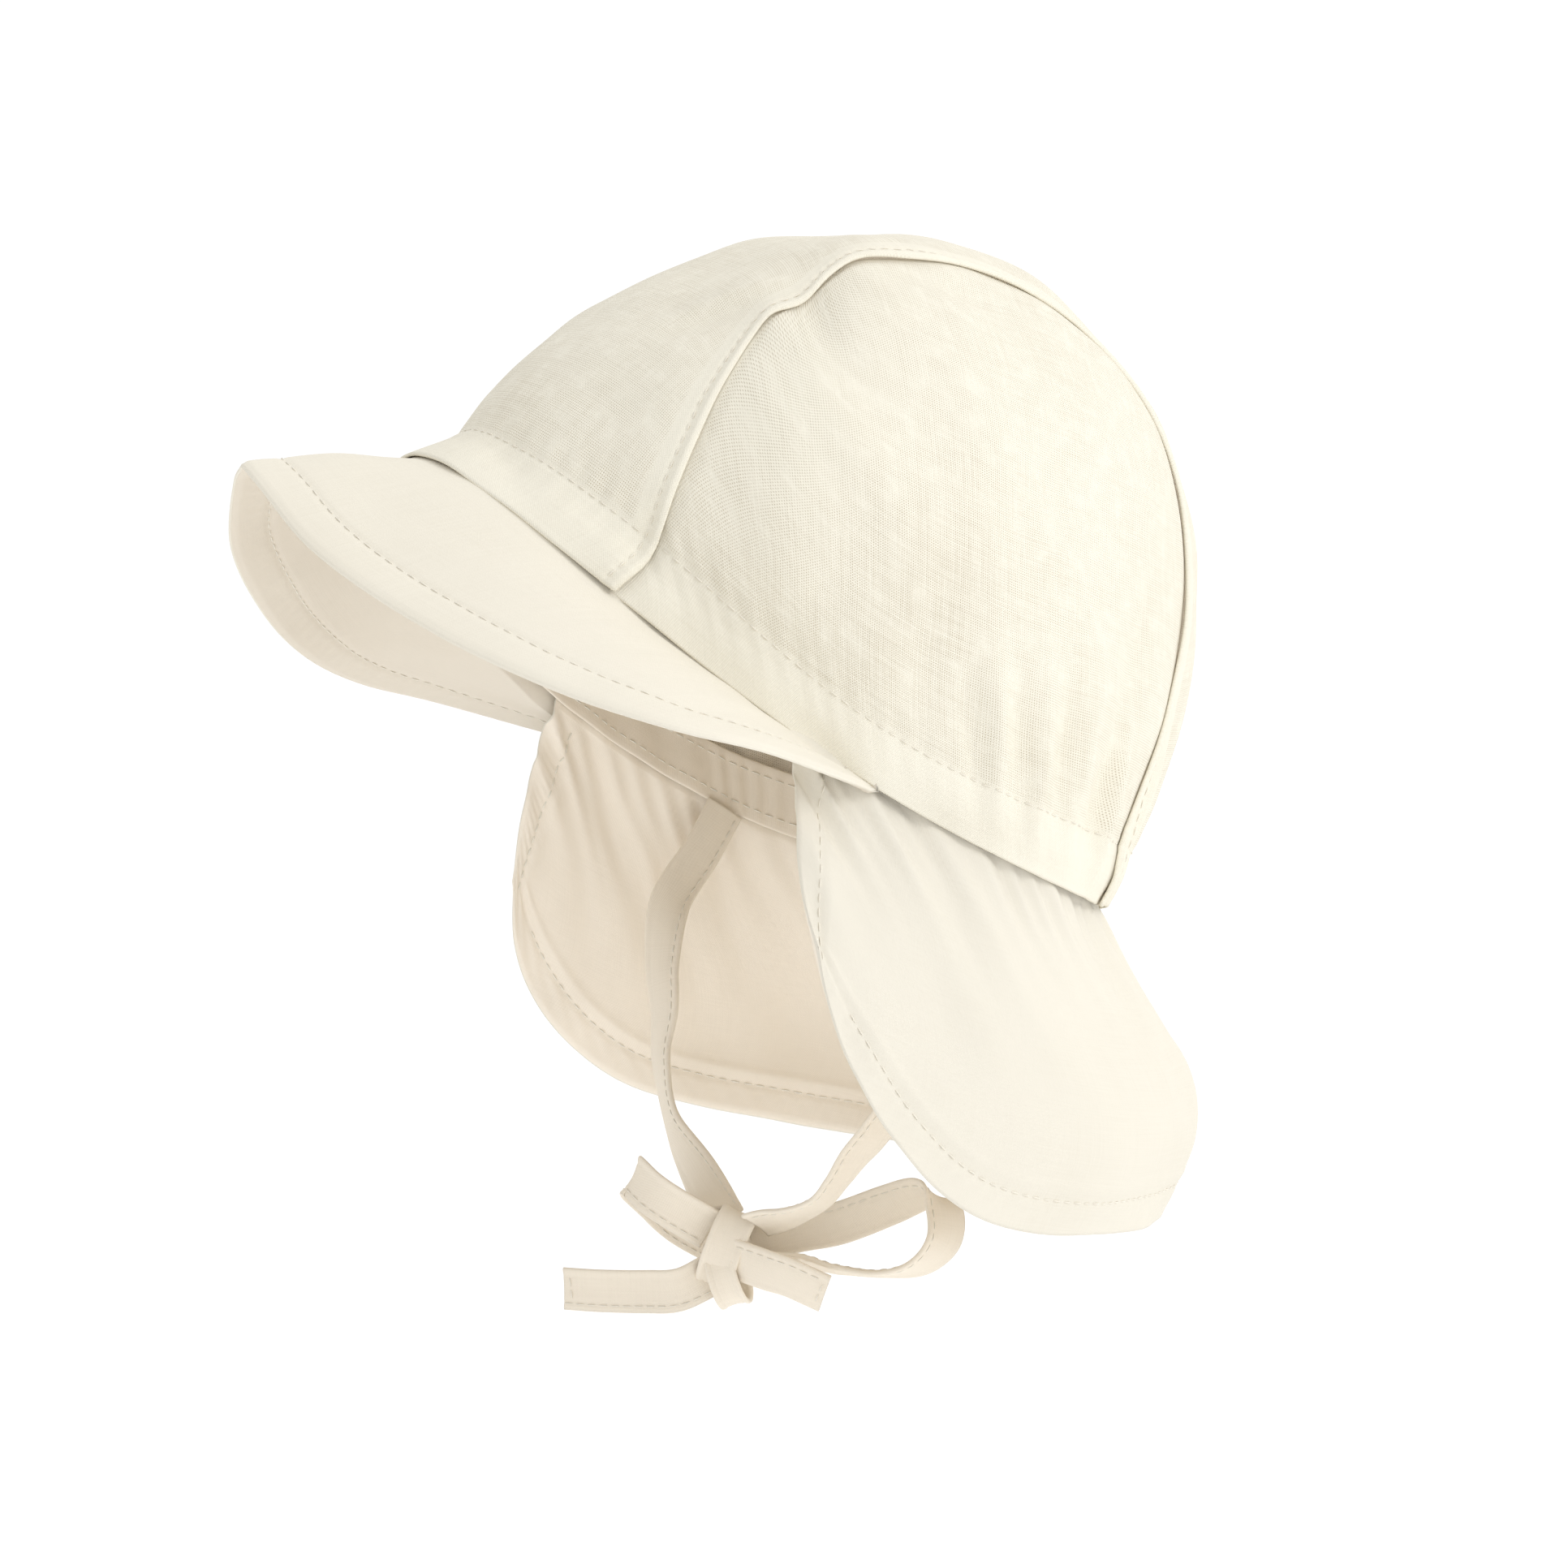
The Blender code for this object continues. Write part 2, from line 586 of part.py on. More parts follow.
def bow_strip(name, route, steps, finish):
    stations = np.linspace(0.0, 1.0, len(route))
    at = np.linspace(0.0, 1.0, steps)
    axes = bow_frame()
    names = ("along", "up", "toward")
    centres = knot_centre() + sum(
        bow_reach * smooth(stations, column(route, key), at)[:, None] * axis for key, axis in zip(names, axes)
    )
    widths = sum(
        smooth(stations, column(route, "width_" + key), at)[:, None] * axis for key, axis in zip(names, axes)
    )
    strip(name, centres, widths, finish)


def bow_knot(finish):
    bpy.ops.mesh.primitive_uv_sphere_add(segments=20, ring_count=12, radius=0.5)
    made = bpy.context.object
    made.name = "bow_knot"
    made.data.name = "bow_knot"
    for collection in list(made.users_collection):
        collection.objects.unlink(made)
    cap_parts.objects.link(made)
    axes = np.array(bow_frame()).T
    shape = np.array([vertex.co for vertex in made.data.vertices])
    sizes = np.array([knot_width, knot_height, knot_depth])
    placed = (shape * sizes) @ axes.T + knot_centre()
    made.data.vertices.foreach_set("co", placed.reshape(-1))
    made.data.polygons.foreach_set("use_smooth", [True] * len(made.data.polygons))
    made.data.materials.append(finish)
    made.data.update()


for old in list(bpy.data.objects):
    bpy.data.objects.remove(old, do_unlink=True)

cap_parts = bpy.data.collections.new("legionnaire_cap")
bpy.context.scene.collection.children.link(cap_parts)

voile = material("crown voile", (0.93, 0.90, 0.80), 0.90)
poplin = material("peak and flap poplin", (0.91, 0.87, 0.76), 0.85)
shaded = material("inner band twill", (0.78, 0.70, 0.60), 0.88)
tape = material("tie tape", (0.80, 0.72, 0.62), 0.82)

centre_panel(voile)
side_panel("left_panel", 1, voile)
side_panel("right_panel", -1, voile)
inner_band(shaded)
peak(poplin)
neck_flap(poplin)
tie("tie_left", 1, tie_left_route, tape)
tie("tie_right", -1, tie_right_route, tape)
bow_knot(tape)
bow_strip("bow_loop_left", bow_loop_left_route, 22, tape)
bow_strip("bow_loop_right", bow_loop_right_route, 34, tape)
bow_strip("bow_end_left", bow_end_left_route, 14, tape)
bow_strip("bow_end_right", bow_end_right_route, 10, tape)
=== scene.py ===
import bpy
import numpy as np
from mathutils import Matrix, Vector


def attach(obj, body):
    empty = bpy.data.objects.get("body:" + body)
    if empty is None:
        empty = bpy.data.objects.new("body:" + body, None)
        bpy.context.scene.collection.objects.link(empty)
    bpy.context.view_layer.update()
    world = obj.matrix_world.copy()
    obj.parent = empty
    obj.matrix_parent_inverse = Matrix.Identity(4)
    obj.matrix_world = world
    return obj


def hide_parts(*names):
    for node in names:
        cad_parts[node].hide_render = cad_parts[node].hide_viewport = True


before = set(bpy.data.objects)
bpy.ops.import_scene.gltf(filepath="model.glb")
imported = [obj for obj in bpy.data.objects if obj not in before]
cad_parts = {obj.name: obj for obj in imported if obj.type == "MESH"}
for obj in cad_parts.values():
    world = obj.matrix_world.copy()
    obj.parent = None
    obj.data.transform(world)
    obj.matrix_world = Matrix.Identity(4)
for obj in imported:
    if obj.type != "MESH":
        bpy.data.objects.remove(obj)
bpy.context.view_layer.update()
bodyName = "root"


# small maths helpers

def unit(vectors):  # v / |v|
    return vectors / np.maximum(np.linalg.norm(vectors, axis=-1, keepdims=True), 1e-12)


def ease(share):  # 3s^2 - 2s^3, held to 0..1
    share = np.clip(share, 0.0, 1.0)
    return share * share * (3 - 2 * share)


def hump(x, width):  # exp(-(x / width)^2)
    return np.exp(-((x / width) ** 2))


def column(rows, name):  # one named column of a table
    return np.array([row[name] for row in rows])


def stack(x, y, z):  # points (x, y, z) along the last axis
    return np.stack(np.broadcast_arrays(x, y, z), axis=-1)


# a cubic through the values at the stations, whose slope at each is the mean of its two sides
def smooth(stations, values, at, flatEnd=False):
    steps = np.diff(values) / np.diff(stations)
    slopes = np.concatenate([steps[:1], (steps[:-1] + steps[1:]) / 2, steps[-1:]])
    if flatEnd:
        slopes[-1] = 0.0
    at = np.clip(at, stations[0], stations[-1])
    cell = np.clip(np.searchsorted(stations, at, side="right") - 1, 0, len(steps) - 1)
    span = np.diff(stations)[cell]
    u = (at - stations[cell]) / span
    return (
        (2 * u**3 - 3 * u**2 + 1) * values[cell]
        + (u**3 - 2 * u**2 + u) * span * slopes[cell]
        + (3 * u**2 - 2 * u**3) * values[cell + 1]
        + (u**3 - u**2) * span * slopes[cell + 1]
    )


def smoothRows(rows, names, at):  # several columns of a table at once, over evenly spaced rows
    stations = np.linspace(0.0, 1.0, len(rows))
    return [smooth(stations, column(rows, name), at) for name in names]


# a sum of sine waves in seeded directions, each as high as it is long, brought to about -1..1
def ripples(u, v, seed, longest, shortest, count=9):
    rng = np.random.default_rng(seed)
    total = 0.0
    for length in np.geomspace(longest, shortest, count):
        turn, phase = rng.uniform(0.0, np.pi), rng.uniform(0.0, 2 * np.pi)
        across = u * np.cos(turn) + v * np.sin(turn)
        total = total + length / longest * np.sin(2 * np.pi * across / length + phase)
    return total / np.sqrt(count)


def gridNormals(points):  # (dP/dcolumn) x (dP/drow)
    return unit(np.cross(np.gradient(points, axis=1), np.gradient(points, axis=0)))


def runLength(points, axis):  # distance along the grid from its first row or column
    steps = np.linalg.norm(np.diff(points, axis=axis), axis=-1)
    first = np.zeros_like(np.take(steps, [0], axis=axis))
    return np.concatenate([first, np.cumsum(steps, axis=axis)], axis=axis)


# mesh makers

# the corners of each cell between neighbouring rows and columns;
# a closed grid joins its last column to its first
def gridQuads(rows, columns, closed=False):
    r = np.arange(rows - 1)[:, None]
    c = np.arange(columns if closed else columns - 1)[None, :]
    n = (c + 1) % columns
    corners = [r * columns + c, r * columns + n, (r + 1) * columns + n, (r + 1) * columns + c]
    return np.stack(corners, axis=-1).reshape(-1, 4)


# a smooth mesh with its finishes, which rides on the cap and may stand for one of its solids
def addPiece(name, mesh, finishes, replaced=(), slot=None):
    mesh.polygons.foreach_set("use_smooth", np.ones(len(mesh.polygons), bool))
    for finish in finishes:
        mesh.materials.append(finish)
    piece = bpy.data.objects.new(name, mesh)
    bpy.context.scene.collection.objects.link(piece)
    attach(piece, bodyName)
    if replaced:
        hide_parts(*replaced)
    return piece


# points and faces made a mesh, with the cloth's own UV map and the share of dense weave at each point
def makeMesh(name, points, faces, uv=None, dense=None):
    mesh = bpy.data.meshes.new(name)
    mesh.from_pydata(points.reshape(-1, 3).tolist(), [], faces if isinstance(faces, list) else faces.tolist())
    mesh.update()
    if uv is not None:  # one pair a vertex, in metres of cloth
        corner = np.empty(len(mesh.loops), np.int32)
        mesh.loops.foreach_get("vertex_index", corner)
        layer = mesh.uv_layers.new(name="cloth")
        layer.data.foreach_set("uv", uv.reshape(-1, 2)[corner].astype(np.float32).reshape(-1))
    if dense is not None:
        values = mesh.attributes.new("dense", "FLOAT", "POINT").data
        values.foreach_set("value", dense.reshape(-1).astype(np.float32))
    return mesh


# two grids of the same size, the outer and the inner side of a cloth, joined round their border
# by a rounded edge: its ridge lies midway between the two and a third of the wall further out
def clothPiece(name, outer, inner, uv, dense, finishes, replaced, slot):
    rows, columns = outer.shape[:2]
    count = rows * columns

    def border(grid):
        return np.concatenate([grid[0, :-1], grid[:-1, -1], grid[-1, :0:-1], grid[:0:-1, 0]])

    within = outer.copy()
    within[0], within[-1] = outer[1], outer[-2]
    within[:, 0], within[:, -1] = outer[:, 1], outer[:, -2]
    wall = np.linalg.norm(border(outer) - border(inner), axis=-1, keepdims=True)
    ridge = (border(outer) + border(inner)) / 2 + unit(border(outer) - border(within)) * wall / 3
    first = border(np.arange(count).reshape(rows, columns))
    edge = 2 * count + np.arange(len(first))
    after, edgeAfter = np.roll(first, -1), np.roll(edge, -1)
    quads = gridQuads(rows, columns)
    faces = [quads, np.stack([after, first, edge, edgeAfter], axis=-1)]
    faces += [np.stack([edgeAfter, edge, first + count, after + count], axis=-1), quads[:, ::-1] + count]
    points = np.concatenate([outer.reshape(-1, 3), inner.reshape(-1, 3), ridge])
    uv = np.concatenate([uv.reshape(-1, 2), uv.reshape(-1, 2), border(uv)])
    dense = np.concatenate([dense.reshape(-1), dense.reshape(-1), border(dense)])
    mesh = makeMesh(name, points, np.concatenate(faces), uv, dense)
    # the inner side takes the second finish: on the crown and peak a copy painted with shade, on the flap a
    # copy painted with light
    if len(finishes) > 1:
        side = np.zeros(len(mesh.polygons), np.int32)
        side[-len(quads):] = 1
        mesh.polygons.foreach_set("material_index", side)
    return addPiece(name, mesh, finishes, replaced, slot)


# a rounded flat section carried along a path: across lies along the width, out along the face;
# look["stitched"] lists the edges that carry stitches, 1 where the width points to and -1 on the other side
def tapePiece(name, centres, widths, look, finish, replaced, slot, closed=False):
    ahead = unit(np.gradient(centres, axis=0))
    if closed:
        ahead = unit(np.roll(centres, -1, axis=0) - np.roll(centres, 1, axis=0))
    across = unit(widths - ahead * np.sum(widths * ahead, axis=-1, keepdims=True))
    out = np.cross(across, ahead)
    half, thick = look["width"] / 2, look["wall"] / 2
    flat = np.linspace(-1.0, 1.0, 15)
    bend = np.linspace(0.0, np.pi, 5)[1:-1]
    sideways = np.concatenate([flat * (half - thick), half - thick + thick * np.sin(bend),
                               -flat * (half - thick), thick - half - thick * np.sin(bend)])
    hem = look["hem"] * (hump(np.abs(flat) - 0.93, 0.07) - 0.8 * hump(np.abs(flat) - 0.74, 0.07))
    face = np.concatenate([thick + hem, thick * np.cos(bend), -thick - hem, -thick * np.cos(bend)])
    cup = look["cup"] * (sideways / half) ** 2
    points = (centres[:, None] + across[:, None] * sideways[None, :, None]
              + out[:, None] * (face + cup)[None, :, None])
    rows, sides = points.shape[:2]
    run = runLength(centres[None], 1)[0]
    around = runLength(points[:1], 1)[0]
    uv = np.stack(np.meshgrid(around, run), axis=-1)
    faces = gridQuads(rows, sides, True)[:, ::-1]
    if closed:
        last = (rows - 1) * sides + np.arange(sides)
        after = (rows - 1) * sides + (np.arange(sides) + 1) % sides
        faces = np.concatenate([faces, np.stack([last, last % sides, after % sides, after], axis=-1)])
        faces = faces.tolist()
    else:
        lastRing = (rows - 1) * sides + np.arange(sides)[::-1]
        faces = faces.tolist() + [list(range(sides)), lastRing.tolist()]
    mesh = makeMesh(name, points, faces, uv, np.ones(points.shape[:2]))
    piece = addPiece(name, mesh, [finish], replaced, slot)
    stitchCup = look["cup"] * (1 - look["stitchIn"] / half) ** 2
    lines = []
    for edge in look["stitched"]:
        middle = centres + across * edge * (half - look["stitchIn"]) + out * stitchCup
        lines += [(middle + out * thick, out), (middle - out * thick, -out)]
    return piece, lines


# rows of stitches along paths: each is a little arched grain that dips into the cloth at its ends
def stitchRows(name, paths, look, finish, slot):
    along = np.array([0.0, 0.12, 0.5, 0.88, 1.0])
    girth = np.array([0.15, 0.8, 1.0, 0.8, 0.15])
    rise = np.array([-1.0, 0.0, 0.55, 0.0, -1.0])
    turn = np.linspace(0.0, 2 * np.pi, 5, endpoint=False)
    points = []
    for path, out in paths:
        path, out = np.asarray(path), unit(np.asarray(out))
        run = runLength(path[None], 1)[0]
        starts = np.arange(look["pitch"] * 0.5, run[-1] - look["length"], look["pitch"])
        at = starts[:, None] + look["length"] * along[None, :]
        centre = np.stack([np.interp(at, run, path[:, k]) for k in range(3)], axis=-1)
        normal = unit(np.stack([np.interp(at, run, out[:, k]) for k in range(3)], axis=-1))
        ahead = unit(centre[:, -1:] - centre[:, :1])
        side = unit(np.cross(normal, ahead))
        centre = centre + normal * (look["radius"] * rise[None, :, None] + look.get("lift", 0.0))
        ring = side[:, :, None] * np.cos(turn)[:, None] + normal[:, :, None] * np.sin(turn)[:, None]
        points.append(centre[:, :, None] + ring * (look["radius"] * girth)[None, :, None, None])
    points = np.concatenate(points)
    count, rings, sides = points.shape[:3]
    first = (np.arange(count) * rings * sides)[:, None]
    faces = (first[:, :, None] + gridQuads(rings, sides, True)[None]).reshape(-1, 4).tolist()
    faces += (first + np.arange(sides)[None, ::-1]).tolist()
    faces += (first + (rings - 1) * sides + np.arange(sides)[None]).tolist()
    mesh = makeMesh(name, points, faces)
    print(name, count, "stitches")
    return addPiece(name, mesh, [finish], (), slot)


# finishes: plain weave worked out from the cloth's own UV map, which is in metres

# warp and weft are cosines of the two UV lengths over a thread's width; their product is the weave's checks,
# and where both are high a pinhole may open
def clothFinish(name, look):
    made = bpy.data.materials.new(name)
    made.use_nodes = True
    tree = made.node_tree
    shader = tree.nodes["Principled BSDF"]

    def node(kind, **settings):
        new = tree.nodes.new(kind)
        for key, value in settings.items():
            setattr(new, key, value)
        return new

    def maths(kind, first, second=0.0, third=None):
        new = node("ShaderNodeMath", operation=kind)
        for socket, value in zip(new.inputs, (first, second, third)):
            if value is None:
                continue
            if isinstance(value, (int, float)):
                socket.default_value = value
            else:
                tree.links.new(value, socket)
        return new.outputs[0]

    def noise(vector, scale, detail, stretch=None):
        if stretch is not None:
            placed = node("ShaderNodeMapping")
            placed.inputs["Scale"].default_value = stretch
            tree.links.new(vector, placed.inputs["Vector"])
            vector = placed.outputs[0]
        new = node("ShaderNodeTexNoise")
        new.inputs["Scale"].default_value = scale
        new.inputs["Detail"].default_value = detail
        tree.links.new(vector, new.inputs["Vector"])
        return new.outputs[0]

    uv = node("ShaderNodeUVMap", uv_map="cloth").outputs[0]
    place = node("ShaderNodeTexCoord").outputs["Object"]
    dense = node("ShaderNodeAttribute", attribute_name="dense").outputs["Fac"]
    parts = node("ShaderNodeSeparateXYZ")
    tree.links.new(uv, parts.inputs[0])
    sway = maths("MULTIPLY", maths("SUBTRACT", noise(uv, 90.0, 2.0), 0.5), look["sway"])
    rate = 2 * np.pi / look["thread"]
    warp = maths("COSINE", maths("MULTIPLY", maths("ADD", parts.outputs[0], sway), rate))
    weft = maths("COSINE", maths("MULTIPLY", maths("ADD", parts.outputs[1], sway), rate))
    slubWarp = noise(uv, 1.0, 3.0, (1 / look["thread"], 60.0, 1.0))
    slubWeft = noise(uv, 1.0, 3.0, (60.0, 1 / look["thread"], 1.0))
    slub = maths("SUBTRACT", maths("ADD", slubWarp, slubWeft), 1.0)
    slub = maths("MULTIPLY", slub, maths("SUBTRACT", 1.0, maths("MULTIPLY", dense, 0.6)))
    weave = maths("MULTIPLY", warp, weft)
    # slow patches of lighter and darker tone: partly the cloth's own uneven tone and partly painted mottled
    # shade, standing in for the dark inside seen through thin cloth
    patches = maths("SUBTRACT", noise(place, look["patch"], 3.0), 0.5)
    # a pinhole stands where both threads part, and only where a slow noise lets the weave open
    parted = maths("MULTIPLY", maths("ADD", maths("MULTIPLY", warp, 0.5), 0.5),
                   maths("ADD", maths("MULTIPLY", weft, 0.5), 0.5))
    opened = node("ShaderNodeMapRange")
    opened.inputs["From Min"].default_value = 0.28
    opened.inputs["From Max"].default_value = 0.58
    tree.links.new(noise(uv, 210.0, 3.0), opened.inputs["Value"])
    holes = maths("MULTIPLY", maths("POWER", parted, 4.0), opened.outputs[0])
    holes = maths("MULTIPLY", holes, maths("SUBTRACT", 1.0, dense))
    shadeBy = maths("ADD", maths("MULTIPLY", holes, look["holes"]), maths("MULTIPLY", slub, look["slub"]))
    shadeBy = maths("ADD", shadeBy, maths("MULTIPLY", patches, look["patches"]))
    shadeBy = maths("ADD", shadeBy, maths("MULTIPLY", weave, look["checks"]))
    shadeBy = maths("ADD", shadeBy, look["even"])
    shades = node("ShaderNodeValToRGB")
    shades.color_ramp.elements[0].color = (*look["light"], 1.0)
    shades.color_ramp.elements[1].color = (*look["dark"], 1.0)
    tree.links.new(shadeBy, shades.inputs[0])
    tree.links.new(shades.outputs[0], shader.inputs["Base Color"])
    rough = maths("ADD", maths("MULTIPLY", slub, 0.12), look["rough"])
    tree.links.new(rough, shader.inputs["Roughness"])
    shader.inputs["Specular IOR Level"].default_value = look["gloss"]
    shader.inputs["Sheen Weight"].default_value = look["sheen"]
    shader.inputs["Sheen Roughness"].default_value = 0.45
    shader.inputs["Sheen Tint"].default_value = (1.0, 0.97, 0.9, 1.0)
    height = maths("ADD", maths("MULTIPLY", weave, 0.35), maths("MULTIPLY", slub, 1.4))
    bump = node("ShaderNodeBump")
    bump.inputs["Strength"].default_value = look["bump"]
    bump.inputs["Distance"].default_value = 0.00012
    tree.links.new(height, bump.inputs["Height"])
    tree.links.new(bump.outputs[0], shader.inputs["Normal"])
    return made


# fine noise between the thread's colour and a shade 18 % darker
def threadFinish(name, colour):
    made = bpy.data.materials.new(name)
    made.use_nodes = True
    tree = made.node_tree
    shader = tree.nodes["Principled BSDF"]
    noise = tree.nodes.new("ShaderNodeTexNoise")
    noise.inputs["Scale"].default_value = 900.0
    place = tree.nodes.new("ShaderNodeTexCoord")
    tree.links.new(place.outputs["Object"], noise.inputs["Vector"])
    ramp = tree.nodes.new("ShaderNodeValToRGB")
    ramp.color_ramp.elements[0].color = (*[c * 0.82 for c in colour], 1.0)
    ramp.color_ramp.elements[1].color = (*colour, 1.0)
    tree.links.new(noise.outputs[0], ramp.inputs[0])
    tree.links.new(ramp.outputs[0], shader.inputs["Base Color"])
    shader.inputs["Roughness"].default_value = 0.6
    shader.inputs["Sheen Weight"].default_value = 0.2
    return made


voileLook = dict(
    light=(0.865, 0.825, 0.71), dark=(0.46, 0.39, 0.27), thread=0.00050, sway=0.00035, patch=26.0,
    holes=2.1, slub=0.5, patches=0.5, checks=0.10, even=0.02, rough=0.86, gloss=0.18, sheen=0.12, bump=0.8,
)
poplinLook = dict(voileLook, light=(0.82, 0.775, 0.67), thread=0.00034, holes=0.12, slub=0.35, patches=0.2,
                  checks=0.03, even=0.02, bump=0.35)
# the peak's underside: a darker, warmer copy of the poplin, painted shade
peakUndersideShadeLook = dict(poplinLook, light=(0.77, 0.705, 0.60), dark=(0.52, 0.45, 0.35), patches=0.22)
# the flap's inner face: a lighter, warmer copy of the poplin, painted light on the side seen in shade
flapInsideLightLook = dict(peakUndersideShadeLook, light=(0.92, 0.84, 0.72), patches=0.3)
bandLook = dict(peakUndersideShadeLook, light=(0.87, 0.785, 0.66), slub=0.4)
tapeLook = dict(poplinLook, light=(0.87, 0.79, 0.665), dark=(0.52, 0.44, 0.33), slub=0.5, patches=0.35,
                bump=0.5)

voile = clothFinish("crown voile", voileLook)
# the crown's inner faces: a warmer, slightly darker copy of the voile, painted shade for the inside
voileInsideShade = clothFinish("crown voile inside", dict(voileLook, light=(0.86, 0.79, 0.68)))
poplin = clothFinish("peak poplin", poplinLook)
# the flap's outer face: a darker copy of the peak's poplin, painted shade
flapPoplinShade = clothFinish("flap poplin", dict(poplinLook, light=(0.775, 0.735, 0.64)))
peakUndersideShade = clothFinish("peak lining", peakUndersideShadeLook)
flapInsideLight = clothFinish("flap lining", flapInsideLightLook)
bandCloth = clothFinish("inner band twill", bandLook)
tapeCloth = clothFinish("tie tape", tapeLook)
thread = threadFinish("sewing thread", (0.90, 0.85, 0.74))
print("finishes made")


# the cap's plain shape, from the same sizes and sections as its solids

cap = dict(
    rimLength=0.176, rimWidth=0.134, widestFromBack=0.054, rimDip=0.0155, tilt=33.5,
    top=0.0935, apexBehind=0.025, rimFlare=0.010, puff=0.0022,
    gathers=6, gatherDepth=0.0018, gatherHeight=0.034,
    bandHeight=0.013, crownWall=0.001, peakWall=0.0017, flapWall=0.0012, gap=0.0003, seamTuck=0.003,
    frontCorner=0.34, backCorner=0.66,
)
crownSections = (
    dict(rise=0.000, side=1.000, front=1.000, back=1.00),
    dict(rise=0.087, side=1.018, front=0.885, back=1.18),
    dict(rise=0.287, side=1.032, front=0.790, back=1.48),
    dict(rise=0.513, side=0.980, front=0.670, back=1.55),
    dict(rise=0.718, side=0.840, front=0.505, back=1.42),
    dict(rise=0.882, side=0.630, front=0.325, back=0.99),
    dict(rise=0.975, side=0.370, front=0.190, back=0.53),
    dict(rise=1.000, side=0.000, front=0.000, back=0.00),
)
# the seam on the crown laid flat as a disc, from the front of the rim over the top to its back
crownSeam = (
    dict(way=0.000, side=0.682, back=-0.731),
    dict(way=0.077, side=0.575, back=-0.630),
    dict(way=0.170, side=0.455, back=-0.500),
    dict(way=0.262, side=0.340, back=-0.370),
    dict(way=0.318, side=0.276, back=-0.285),
    dict(way=0.355, side=0.262, back=-0.215),
    dict(way=0.402, side=0.222, back=-0.135),
    dict(way=0.445, side=0.190, back=-0.060),
    dict(way=0.487, side=0.185, back=0.020),
    dict(way=0.530, side=0.170, back=0.100),
    dict(way=0.583, side=0.160, back=0.200),
    dict(way=0.635, side=0.172, back=0.300),
    dict(way=0.681, side=0.215, back=0.375),
    dict(way=0.726, side=0.270, back=0.440),
    dict(way=0.767, side=0.330, back=0.490),
    dict(way=0.829, side=0.440, back=0.530),
    dict(way=0.896, side=0.560, back=0.575),
    dict(way=0.954, side=0.645, back=0.645),
    dict(way=1.000, side=0.700, back=0.714),
)


# an egg seen along the cap's own axis, its sides dipping as a parabola, tipped back about X
def rim(angle):
    half = cap["rimLength"] / 2
    widest = half - cap["widestFromBack"]
    along = widest - np.where(np.cos(angle) > 0, widest + half, half - widest) * np.cos(angle)
    above = -cap["rimDip"] * (1 - (along / half) ** 2)
    tilt = np.radians(cap["tilt"])
    return stack(cap["rimWidth"] / 2 * np.sin(angle), along * np.cos(tilt) + above * np.sin(tilt),
                 above * np.cos(tilt) - along * np.sin(tilt))


def seamLine(way):  # the seam's place on the flat disc, at this share of its way
    stations = column(crownSeam, "way")
    return np.stack([smooth(stations, column(crownSeam, name), way) for name in ("side", "back")], axis=-1)


def discTurn(flat):  # a disc point's angle round from the front
    return np.arctan2(flat[..., 0], -flat[..., 1])


frontSeam, backSeam = discTurn(seamLine(np.array([0.0, 1.0])))
seamAngles = np.array([frontSeam, backSeam, 2 * np.pi - backSeam, 2 * np.pi - frontSeam])


# the rim's own outline, drawn in or out by the section at this climb and raised towards the top
def crownAt(angle, climb):
    stations = np.linspace(0.0, 1.0, len(crownSections))
    rise = smooth(stations, column(crownSections, "rise"), climb, True)
    side, front, back = (smooth(stations, column(crownSections, key), climb)
                         for key in ("side", "front", "back"))
    base = rim(angle)
    toBack = ease((1 - np.cos(angle)) / 2)
    x = base[..., 0] * side
    y = cap["apexBehind"] + (base[..., 1] - cap["apexBehind"]) * (front * (1 - toBack) + back * toBack)
    z = base[..., 2] + (cap["top"] - base[..., 2]) * rise
    out = unit(stack(x, y - cap["apexBehind"], 0.4 * (z - base[..., 2]) + cap["rimFlare"]))
    return stack(x, y, z) + out * relief(angle, climb)[..., None]


# each panel's puff, a sine of the climb, and the raised cosines of the gathers behind
def relief(angle, climb):
    turn = np.mod(angle, 2 * np.pi)
    edges = np.concatenate([[seamAngles[-1] - 2 * np.pi], seamAngles, [seamAngles[0] + 2 * np.pi]])
    cell = np.clip(np.searchsorted(edges, turn, side="right") - 1, 0, len(edges) - 2)
    across = (turn - edges[cell]) / (edges[cell + 1] - edges[cell])
    height = climb * (cap["top"] + cap["rimLength"] / 2)
    above = ease((height - cap["bandHeight"]) / cap["bandHeight"]) * ease(6 * (1 - climb))
    puff = cap["puff"] * (ease(2 * np.minimum(across, 1 - across)) - 0.6) * np.sin(np.pi * climb)
    behind = (turn - seamAngles[1]) / (seamAngles[2] - seamAngles[1])
    inside = ease(8 * behind) * ease(8 * (1 - behind)) * (1 - ease(height / cap["gatherHeight"]))
    waves = 0.5 - 0.5 * np.cos(2 * np.pi * cap["gathers"] * behind)
    return puff * above + cap["gatherDepth"] * waves * inside


def crownNormal(angle, climb):  # a small step round crossed with a small step up
    step = 0.004
    up = crownAt(angle, climb + step) - crownAt(angle, np.clip(climb - step, 0.0, 1.0))
    return unit(np.cross(crownAt(angle + step, climb) - crownAt(angle - step, climb), up))


def edgeLine(angles, inset, above):  # this far inside the crown's face and this far above its lower edge
    low, high = crownAt(angles, 0.0 * angles), crownAt(angles, 0.0 * angles + 0.006)
    normal = crownNormal(angles, 0.0 * angles)
    return low + unit(high - low) * np.reshape(above, (-1, 1)) - normal * np.reshape(inset, (-1, 1))


# crown: wrinkles that the photo shows, as soft ridges across the cloth at a place on the crown

